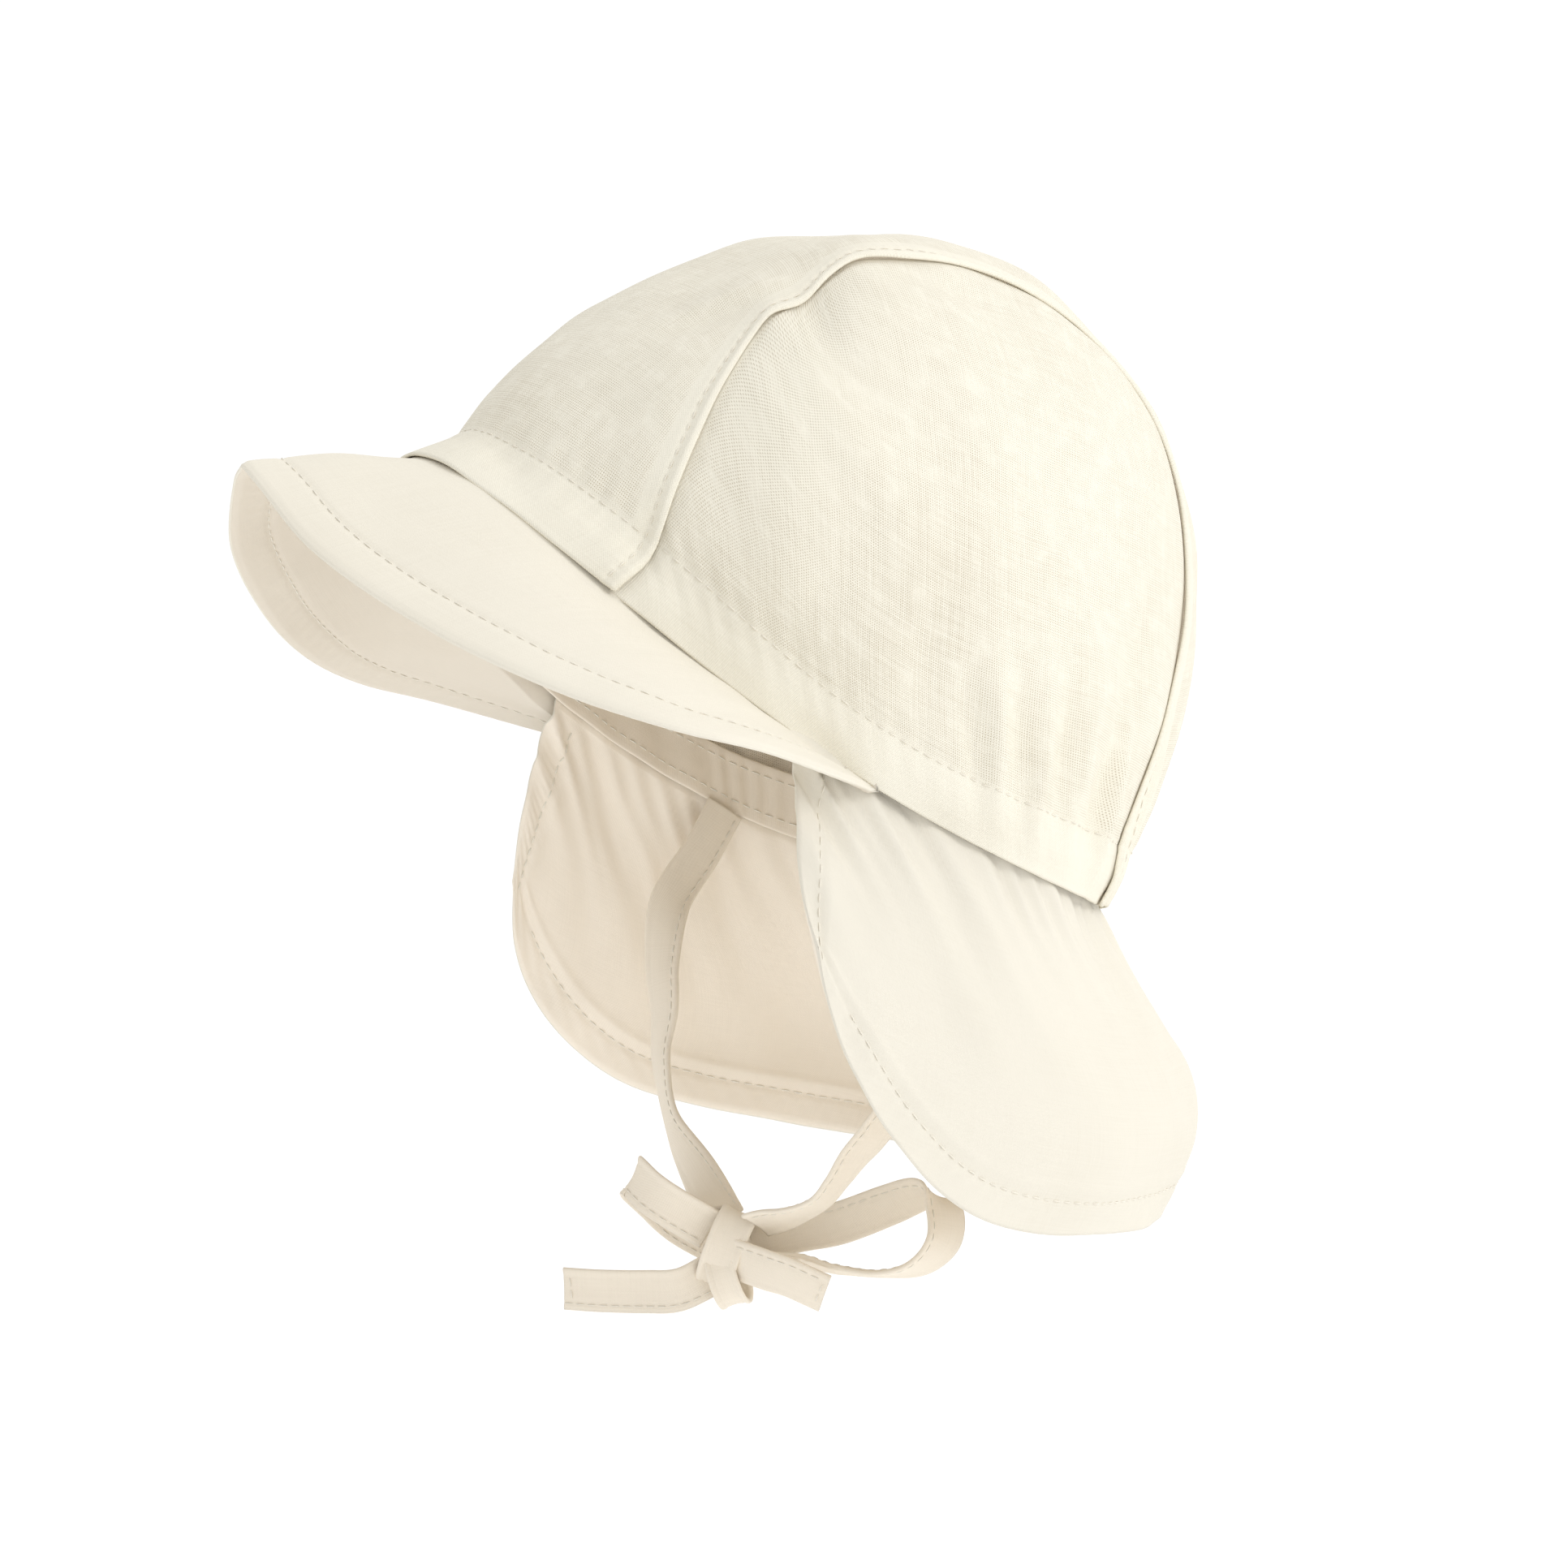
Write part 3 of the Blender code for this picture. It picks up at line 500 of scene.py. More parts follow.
# angle is in degrees round from the front, climb the share from rim to top, and turn the ridge's lean
# from upright; high, long and wide are in millimetres
crownCreases = (
    dict(angle=18, climb=0.100, turn=75, high=-1.2, long=13, wide=4.5),
    dict(angle=28, climb=0.600, turn=-42, high=0.9, long=11, wide=2.6),
    dict(angle=31, climb=0.565, turn=-42, high=-0.8, long=11, wide=3.0),
    dict(angle=60, climb=0.650, turn=35, high=-1.4, long=9, wide=4.5),
    dict(angle=47, climb=0.600, turn=30, high=0.7, long=8, wide=3.0),
    dict(angle=102, climb=0.750, turn=60, high=-1.8, long=11, wide=5.0),
    dict(angle=42, climb=0.150, turn=20, high=-1.1, long=8, wide=3.5),
    dict(angle=55, climb=0.420, turn=78, high=-0.7, long=20, wide=7.0),
    dict(angle=64, climb=0.350, turn=10, high=0.7, long=22, wide=8.0),
    dict(angle=84, climb=0.300, turn=-12, high=-0.8, long=20, wide=6.0),
    dict(angle=88, climb=0.215, turn=4, high=-1.4, long=14, wide=2.6),
    dict(angle=92, climb=0.225, turn=2, high=1.4, long=15, wide=2.6),
    dict(angle=97, climb=0.215, turn=3, high=-1.6, long=15, wide=2.8),
    dict(angle=103, climb=0.230, turn=0, high=1.4, long=17, wide=3.0),
    dict(angle=108, climb=0.235, turn=-2, high=-1.6, long=17, wide=2.8),
    dict(angle=114, climb=0.225, turn=-4, high=1.4, long=16, wide=3.0),
    dict(angle=120, climb=0.200, turn=-6, high=-1.4, long=15, wide=2.4),
    dict(angle=125, climb=0.300, turn=-10, high=-2.2, long=16, wide=3.6),
    dict(angle=124, climb=0.195, turn=-2, high=3.0, long=19, wide=2.2),
    dict(angle=139, climb=0.190, turn=-14, high=1.9, long=15, wide=2.2),
    dict(angle=144, climb=0.200, turn=-8, high=-1.8, long=15, wide=2.8),
    dict(angle=76, climb=0.560, turn=50, high=-0.8, long=16, wide=7.0),
    dict(angle=112, climb=0.500, turn=-65, high=-1.1, long=20, wide=8.0),
    dict(angle=-18, climb=0.100, turn=-70, high=-1.1, long=12, wide=4.5),
    dict(angle=-40, climb=0.300, turn=-15, high=-0.9, long=20, wide=7.0),
    dict(angle=-62, climb=0.640, turn=-35, high=-1.2, long=10, wide=4.5),
    dict(angle=-90, climb=0.220, turn=-4, high=-1.4, long=14, wide=2.8),
    dict(angle=-96, climb=0.225, turn=-2, high=1.4, long=15, wide=2.8),
    dict(angle=-103, climb=0.225, turn=0, high=-1.6, long=16, wide=2.9),
    dict(angle=-110, climb=0.230, turn=4, high=1.4, long=16, wide=3.0),
    dict(angle=-118, climb=0.215, turn=6, high=-1.4, long=15, wide=2.6),
    dict(angle=-124, climb=0.200, turn=4, high=2.4, long=18, wide=2.4),
    dict(angle=-140, climb=0.190, turn=12, high=1.6, long=15, wide=2.4),
    dict(angle=160, climb=0.180, turn=4, high=-1.4, long=14, wide=3.0),
    dict(angle=175, climb=0.200, turn=-2, high=1.4, long=16, wide=3.2),
    dict(angle=-165, climb=0.190, turn=-4, high=-1.4, long=14, wide=3.0),
    dict(angle=-20, climb=0.560, turn=40, high=0.7, long=14, wide=4.0),
)
crown = dict(
    clothWall=0.0007, lap=0.0011, lapLift=0.00055, lapSlope=0.006, bead=0.00042, beadWidth=0.0007,
    stitchIn=0.0030, groove=0.00026, tucked=0.00045, tuckSlope=0.0035,
    puckerPitch=0.0061, pucker=0.00022, softWaves=0.0010, allowance=0.0062,
    stitch=dict(pitch=0.0029, length=0.0021, radius=0.00017, lift=0.00006),
)


# sum over the table of high * exp(-(a/long)^2 - (b/wide)^2), with a along the ridge and b across it
def creasesAt(points, rows):
    total = np.zeros(points.shape[:-1])
    for row in rows:
        angle, climb = np.radians([row["angle"]]), np.array([row["climb"]])
        centre = crownAt(angle, climb)[0]
        up = unit(crownAt(angle, climb + 0.01)[0] - centre)
        normal = crownNormal(angle, climb)[0]
        level = np.cross(up, normal)
        turn = np.radians(row["turn"])
        along = up * np.cos(turn) - level * np.sin(turn)
        across = np.cross(along, normal)
        away = points - centre
        a, b = away @ along / (row["long"] * 1e-3), away @ across / (row["wide"] * 1e-3)
        total += row["high"] * 1e-3 * np.exp(-a * a - b * b) * hump(away @ normal, 0.03)
    return total


def lineAt(points, run, wanted):  # on each grid row, the point where its run reaches the wanted distance
    row = np.arange(len(run))
    at = np.clip((run < wanted).sum(axis=1), 1, run.shape[1] - 1)
    share = (wanted - run[row, at - 1]) / (run[row, at] - run[row, at - 1])
    return points[row, at - 1] + (points[row, at] - points[row, at - 1]) * share[:, None]


def crowded(count, ends=0.35):  # 0..1, drawn towards both ends
    s = np.linspace(0.0, 1.0, count)
    return s - ends * np.sin(2 * np.pi * s) / np.pi


# a point of the flat disc raised to the crown: its angle gives the turn, and 1 - its radius the climb
def panelFace(flat):
    turn = discTurn(flat)
    climb = np.clip(1 - np.linalg.norm(flat, axis=-1), 0.0, 1.0)
    return crownAt(turn, climb), turn, climb


# height of the cloth's own relief: soft waves, creases, the groove and puckers of the band's stitch line
def panelRelief(points, height, fromSeam, u, v, seed):
    loose = ease((height - 0.006) / 0.02) * ease(fromSeam / 0.012)
    waves = crown["softWaves"] * ripples(u, v, seed, 0.075, 0.018) * (0.35 + 0.65 * loose)
    grooves = -crown["groove"] * hump(height - cap["bandHeight"], 0.0008)
    shift = 1.5 * ripples(u, v, seed + 1, 0.05, 0.01)
    pucker = crown["pucker"] * np.sin(2 * np.pi * u / crown["puckerPitch"] + shift)
    puckers = pucker * (hump(height - cap["bandHeight"] - 0.0026, 0.0026) + 0.6 * hump(height - 0.009, 0.003))
    edge = 0.0004 * ripples(u, v, seed + 2, 0.03, 0.012) * hump(height, 0.006)
    band = 0.00035 * hump(height - 0.0062, 0.004)
    return waves + grooves + puckers + edge + band + creasesAt(points, crownCreases)


# rows run from the forehead over the top to the nape, between the two seams: straight across at the top,
# and bent along the rim near it; a lap past each seam is raised over the side panel
def makeCentrePanel():
    rows, columns = 230, 104
    front = np.linspace(0.0, cap["frontCorner"], 74)
    top = np.linspace(cap["frontCorner"], cap["backCorner"], 84)
    back = np.linspace(cap["backCorner"], 1.0, rows - 156)
    seam = seamLine(np.concatenate([front, top[1:], back[1:]]))[:, None]
    across = (2 * crowded(columns) - 1)[None, :]
    straight = np.stack(np.broadcast_arrays(seam[..., 0] * across, seam[..., 1]), axis=-1)
    radius, turn = np.linalg.norm(seam, axis=-1), discTurn(seam)
    bentBy = np.where(turn < np.pi / 2, across * turn, np.pi - across * (np.pi - turn))
    bent = radius[..., None] * np.stack([np.sin(bentBy), -np.cos(bentBy)], axis=-1)
    toRim = ease((radius - 0.2) / 0.6)[..., None]
    points = panelFace(straight * (1 - toRim) + bent * toRim)[0]
    lap = crown["lap"]
    points = np.concatenate([points[:, :1] + unit(points[:, :1] - points[:, 1:2]) * lap, points,
                             points[:, -1:] + unit(points[:, -1:] - points[:, -2:-1]) * lap], axis=1)
    normals = gridNormals(points)
    run = runLength(points, 1)
    fromSeam = np.minimum(run, run[:, -1:] - run)
    climbed = runLength(points, 0)
    height = np.minimum(climbed, climbed[-1:] - climbed)
    u = run - run[:, -1:] / 2
    v = np.broadcast_to(climbed[:, climbed.shape[1] // 2][:, None], u.shape)
    lift = crown["lapLift"] * (1 - ease((fromSeam - 0.001) / crown["lapSlope"]))
    lift += crown["bead"] * hump(fromSeam - 0.0009, crown["beadWidth"])
    lift -= crown["groove"] * 1.3 * hump(fromSeam - crown["stitchIn"], 0.0007)
    seamPucker = np.sin(2 * np.pi * v / crown["stitch"]["pitch"]) * hump(fromSeam - crown["stitchIn"], 0.0018)
    lift += 0.00009 * seamPucker + panelRelief(points, height, fromSeam, u, v, 11)
    outer = points + normals * lift[..., None]
    inner = outer - normals * crown["clothWall"]
    dense = np.maximum(1 - ease((fromSeam - crown["allowance"]) / 0.0012),
                       1 - ease((height - cap["bandHeight"] - 0.0006) / 0.001))
    uv = np.stack([u, v], axis=-1)
    piece = clothPiece("centrePanelCloth", outer, inner, uv, dense, [voile, voileInsideShade],
                       ["centre_panel"], "centre_panel")
    paths = []
    for side in (1, -1):
        face, out, way = outer[:, ::side], gridNormals(outer)[:, ::side], fromSeam[:, ::side].copy()
        way = np.maximum.accumulate(way, axis=1)
        paths.append((lineAt(face, way, crown["stitchIn"]), lineAt(out, way, crown["stitchIn"])))
    for end in (1, -1):
        face, out = outer[::end].transpose(1, 0, 2)[3:-3], gridNormals(outer)[::end].transpose(1, 0, 2)[3:-3]
        way = np.maximum.accumulate(height[::end].T, axis=1)[3:-3]
        paths.append((lineAt(face, way, cap["bandHeight"]), lineAt(out, way, cap["bandHeight"])))
    return paths


# the left panel, or its mirror image, worked out between its four edges on the flat disc
def makeSidePanel(name, node, hand, seed):
    rows, columns = 96, 168
    v1, u1 = crowded(rows, 0.25), crowded(columns, 0.2)
    front = seamLine(cap["frontCorner"] * v1)[:, None]
    top = seamLine(cap["frontCorner"] + (cap["backCorner"] - cap["frontCorner"]) * u1)[None]
    back = seamLine(1.0 + (cap["backCorner"] - 1.0) * v1)[:, None]
    turn = seamAngles[0] + (seamAngles[1] - seamAngles[0]) * u1
    edge = np.stack([np.sin(turn), -np.cos(turn)], axis=-1)[None]
    u, v = u1[None, :, None], v1[:, None, None]
    low, high = (1 - u) * front[0] + u * back[0], (1 - u) * front[-1] + u * back[-1]
    flat = (1 - v) * (edge - low) + v * (top - high) + (1 - u) * front + u * back
    if hand < 0:
        flat = flat[:, ::-1] * np.array([-1.0, 1.0])
    points, turns, climbs = panelFace(flat)
    normals = crownNormal(turns, climbs)
    run, height = runLength(points, 1), runLength(points, 0)
    fromSeam = np.minimum(np.minimum(run, run[:, -1:] - run), height[-1:] - height)
    uAcross = run - run[:, columns // 2][:, None]
    lift = -crown["tucked"] * (1 - ease((fromSeam - 0.0012) / crown["tuckSlope"]))
    lift += panelRelief(points, height, fromSeam, uAcross, height, seed)
    outer = points + normals * lift[..., None]
    inner = outer - normals * crown["clothWall"]
    dense = np.maximum(1 - ease((fromSeam - 0.0012) / 0.001),
                       1 - ease((height - cap["bandHeight"] - 0.0006) / 0.001))
    piece = clothPiece(name, outer, inner, np.stack([uAcross, height], axis=-1), dense, [voile, voileInsideShade],
                       [node], node)
    face, out = outer.transpose(1, 0, 2)[2:-2], gridNormals(outer).transpose(1, 0, 2)[2:-2]
    return [(lineAt(face, height.T[2:-2], cap["bandHeight"]), lineAt(out, height.T[2:-2], cap["bandHeight"]))]


crownPaths = makeCentrePanel()
crownPaths += makeSidePanel("leftPanelCloth", "left_panel", 1, 21)
crownPaths += makeSidePanel("rightPanelCloth", "right_panel", -1, 31)
stitchRows("crownStitches", crownPaths, crown["stitch"], thread, "centre_panel")
print("crown made")


# inner band: a closed ring of twill, its section a flat loop with rounded edges

band = dict(
    wall=0.0009, inset=cap["crownWall"] + cap["peakWall"] + 4.5 * cap["gap"], columns=360,
    edgeSwell=0.035, ripple=0.00035, waves=60, wander=7,
)


def makeInnerBand():
    angles = np.linspace(0.0, 2 * np.pi, band["columns"], endpoint=False)
    climb = np.linspace(0.0, 0.3, 61)[:, None]
    face = crownAt(angles[None, :], climb + 0 * angles[None, :])
    lengths = runLength(face, 0)
    flat = np.linspace(0.0, 1.0, 13)
    bend = np.linspace(0.0, np.pi, 5)[1:-1]
    swell = band["edgeSwell"] * np.sin(bend)
    up = np.concatenate([flat, 1 + swell, flat[::-1], -swell]) * cap["bandHeight"]
    depth = np.concatenate([0 * flat, 0.5 - 0.5 * np.cos(bend), 0 * flat + 1, 0.5 + 0.5 * np.cos(bend)])
    share = np.clip(up, 0.0, None)
    wanted = np.array([np.interp(share, lengths[:, i], climb[:, 0]) for i in range(len(angles))]).T
    points, normals = crownAt(angles[None, :], wanted), crownNormal(angles[None, :], wanted)
    below = np.minimum(up, 0.0)[:, None, None]
    upwards = unit(face[2] - face[0])[None]
    waves = np.sin(angles * band["waves"] + 2 * np.sin(angles * band["wander"]))[None, :]
    ripple = band["ripple"] * waves * hump(up - 0.006, 0.008)[:, None]
    inset = band["inset"] + band["wall"] * depth[:, None] - ripple
    points = points + upwards * below - normals * inset[..., None]
    around = runLength(points, 1)
    uv = np.stack([around, np.broadcast_to(runLength(points[:, :1], 0), around.shape)], axis=-1)
    sections, columns = points.shape[:2]
    grid = gridQuads(sections + 1, columns, True) % (sections * columns)
    mesh = makeMesh("innerBandCloth", points, grid, uv, np.ones(points.shape[:2]))
    piece = addPiece("innerBandCloth", mesh, [bandCloth], ["inner_band"], "inner_band")
    inner = len(flat) + len(bend)  # the first row of the band's inner side
    return [(points[row], -normals[row]) for row in (inner + 2, inner + len(flat) - 3)]


bandPaths = makeInnerBand()
stitchRows("bandStitches", bandPaths, dict(crown["stitch"], lift=0.0001), thread, "inner_band")
print("inner band made")


# peak: two layers over a soft filling

peakEdge = (
    dict(along=0.00, side=0.000, ahead=1.00, drop=0.022),
    dict(along=0.08, side=0.085, ahead=0.98, drop=0.078),
    dict(along=0.20, side=0.290, ahead=0.84, drop=0.275),
    dict(along=0.36, side=0.570, ahead=0.43, drop=0.505),
    dict(along=0.52, side=0.820, ahead=-0.04, drop=0.670),
    dict(along=0.68, side=0.985, ahead=-0.53, drop=0.775),
    dict(along=0.82, side=1.000, ahead=-1.02, drop=0.845),
    dict(along=0.93, side=0.895, ahead=-1.53, drop=0.935),
    dict(along=1.00, side=0.785, ahead=-1.90, drop=1.000),
)
peak = dict(
    end=77.0, reach=0.037, halfWidth=0.0835, crown=0.0012, inset=0.0009, flushFrom=0.82, flushSpan=0.06,
    columns=300, rows=58, hem=0.0085, groove=0.00028, pucker=0.00016, puckerPitch=0.0042,
)


# from the crown's lower edge to the peak's own, s^0.8 of the way at each row, and raised between them
# by 4w(1 - w) of that way; the last row is tucked up inside the crown
def makePeak():
    along = np.linspace(-1.0, 1.0, peak["columns"])
    share = np.abs(along)
    turn = np.mod(along * np.radians(peak["end"]), 2 * np.pi)
    flush = ease((share - peak["flushFrom"]) / peak["flushSpan"])
    inset = peak["inset"] * (1 - flush)
    tucked = edgeLine(turn, cap["crownWall"] + cap["gap"], cap["seamTuck"])
    stations = column(peakEdge, "along")
    side, ahead, drop = (smooth(stations, column(peakEdge, key), share) for key in ("side", "ahead", "drop"))
    front, end = rim(np.array([0.0]))[0], rim(np.radians([peak["end"]]))[0]
    outerEdge = stack(np.sign(along) * side * peak["halfWidth"], front[1] - ahead * peak["reach"],
                      front[2] + drop * (end[2] - front[2]))
    innerEdge = edgeLine(turn, inset, -cap["gap"])
    innerEdge = innerEdge + unit(outerEdge - innerEdge) * cap["gap"]
    s = np.linspace(1.0, 0.0, peak["rows"])
    outward = (s ** 0.8)[:, None, None]
    points = innerEdge + (outerEdge - innerEdge) * outward
    width = np.linalg.norm(outerEdge - innerEdge, axis=-1) / peak["reach"]
    way = outward[..., 0]
    points[..., 2] += peak["crown"] * np.minimum(width, 1.0)[None, :] * 4 * way * (1 - way)
    points = np.concatenate([points, tucked[None]])
    normals = gridNormals(points)
    normals[-3:] = normals[-4]
    u = runLength(points, 1) - runLength(points, 1)[:, -1:] / 2
    v = runLength(points, 0)
    soft = 0.00045 * ripples(u, v, 41, 0.05, 0.014) * ease(v / 0.01)
    far = ease((v[-1:] - v) / 0.004)
    lift = -peak["groove"] * hump(v - peak["hem"], 0.0008) + 0.0001 * hump(v - 0.004, 0.003) + soft * far
    puckers = np.sin(2 * np.pi * u[:1] / peak["puckerPitch"] + 2 * ripples(u[:1], 0 * u[:1], 43, 0.04, 0.01))
    under = -soft * far + 0.00004 - peak["groove"] * hump(v - peak["hem"], 0.0008)
    under = under + peak["pucker"] * puckers * hump(v - 0.0052, 0.0034)
    wall = cap["peakWall"] * (0.45 + 0.55 * ease(v / 0.0016))
    outer = points + normals * (lift - (cap["peakWall"] - wall) / 2)[..., None]
    inner = points - normals * (wall + (cap["peakWall"] - wall) / 2 + under)[..., None]
    piece = clothPiece("peakCloth", outer, inner, np.stack([u, v], axis=-1), np.ones(u.shape),
                       [poplin, peakUndersideShade], ["peak"], "peak")
    cut = slice(4, -4)
    paths = []
    for face, sign in ((outer, 1), (inner, -1)):
        across, out = face.transpose(1, 0, 2)[cut], gridNormals(face).transpose(1, 0, 2)[cut] * sign
        paths.append((lineAt(across, v.T[cut], peak["hem"]), lineAt(out, v.T[cut], peak["hem"])))
    return paths


peakPaths = makePeak()
stitchRows("peakStitches", peakPaths, dict(crown["stitch"], pitch=0.0030, length=0.0022), thread, "peak")
print("peak made")


# neck flap

flapEdge = (
    dict(around=0.00, side=0.000, back=1.000, down=1.000),
    dict(around=0.14, side=0.340, back=0.935, down=1.000),
    dict(around=0.28, side=0.655, back=0.755, down=0.990),
    dict(around=0.41, side=0.860, back=0.510, down=0.958),
    dict(around=0.53, side=0.955, back=0.270, down=0.915),
    dict(around=0.64, side=0.990, back=0.090, down=0.858),
    dict(around=0.74, side=1.000, back=-0.050, down=0.768),
    dict(around=0.83, side=0.995, back=-0.150, down=0.662),
    dict(around=0.92, side=0.960, back=-0.215, down=0.540),
    dict(around=1.00, side=0.905, back=-0.238, down=0.415),
)
flapProfile = (0.0, 0.20, 0.50, 0.78, 0.98, 1.0, 0.82, 0.42, 0.0)
flapStations = (0.0, 0.12, 0.25, 0.38, 0.50, 0.62, 0.75, 0.88, 1.0)
flap = dict(
    end=68.0, halfWidth=0.083, backReach=0.088, drop=0.112, belly=0.0105, sag=0.006, fold=0.0018,
    frontBow=0.0018, foldRate=11.0, smoothFrom=0.35, smoothSpan=0.55, pastPeak=6.0, columns=300, rows=120,
    stitchIn=0.007, hemIn=0.0098, hemHigh=0.00035, gather=0.0005, gatherPitch=0.0085, cornerColumns=14,
)
# around is the signed share of the way round from the back, plus on the wearer's left, and down the share
# of the fall; lean turns the fold from upright; high, long and wide are in millimetres
flapFolds = (
    dict(around=0.887, down=0.05, lean=4, high=0.9, long=12, wide=2.6),
    dict(around=0.857, down=0.083, lean=-6, high=-0.9, long=12, wide=2.8),
    dict(around=0.823, down=0.075, lean=-8, high=0.9, long=12, wide=2.8),
    dict(around=0.867, down=0.167, lean=8, high=-0.7, long=11, wide=3.6),
    dict(around=0.780, down=0.10, lean=-10, high=-0.7, long=12, wide=3.2),
    dict(around=0.703, down=0.10, lean=-10, high=0.9, long=15, wide=3.4),
    dict(around=0.640, down=0.12, lean=-6, high=-0.9, long=15, wide=3.6),
    dict(around=0.560, down=0.14, lean=-4, high=0.8, long=18, wide=4.0),
    dict(around=0.470, down=0.14, lean=0, high=-0.9, long=20, wide=4.4),
    dict(around=0.380, down=0.16, lean=2, high=1.0, long=22, wide=4.6),
    dict(around=0.290, down=0.18, lean=2, high=-1.0, long=24, wide=5.0),
    dict(around=0.245, down=0.50, lean=6, high=1.3, long=20, wide=6.0),
    dict(around=0.190, down=0.40, lean=-4, high=-1.2, long=26, wide=6.0),
    dict(around=0.160, down=0.68, lean=0, high=1.2, long=16, wide=6.0),
    dict(around=0.080, down=0.20, lean=0, high=1.0, long=26, wide=5.0),
    dict(around=-0.020, down=0.22, lean=2, high=-1.1, long=28, wide=5.0),
    dict(around=-0.110, down=0.20, lean=-2, high=1.0, long=26, wide=5.0),
    dict(around=-0.210, down=0.20, lean=0, high=-1.0, long=24, wide=5.0),
    dict(around=-0.310, down=0.18, lean=-4, high=1.0, long=22, wide=4.6),
    dict(around=-0.410, down=0.16, lean=2, high=-1.0, long=22, wide=4.4),
    dict(around=-0.530, down=0.34, lean=8, high=1.1, long=22, wide=4.2),
    dict(around=-0.540, down=0.61, lean=4, high=-0.9, long=18, wide=5.5),
    dict(around=-0.650, down=0.53, lean=-6, high=0.9, long=20, wide=5.0),
    dict(around=-0.683, down=0.28, lean=6, high=-1.0, long=16, wide=3.6),
    dict(around=-0.777, down=0.24, lean=10, high=1.0, long=14, wide=3.2),
    dict(around=-0.800, down=0.43, lean=-4, high=-0.7, long=16, wide=4.5),
    dict(around=-0.840, down=0.167, lean=6, high=-1.0, long=13, wide=2.8),
    dict(around=-0.887, down=0.083, lean=0, high=1.0, long=12, wide=2.6),
    dict(around=-0.870, down=0.60, lean=0, high=0.6, long=14, wide=5.0),
)


# the distance from each grid point to the flap's free border, taken along its rows and columns
def flapReach(points):
    down = runLength(points[::-1], 0)[::-1]
    across = runLength(points, 1)
    return np.minimum(runLength(points, 0), np.minimum(across, across[:, -1:] - across)), down, across


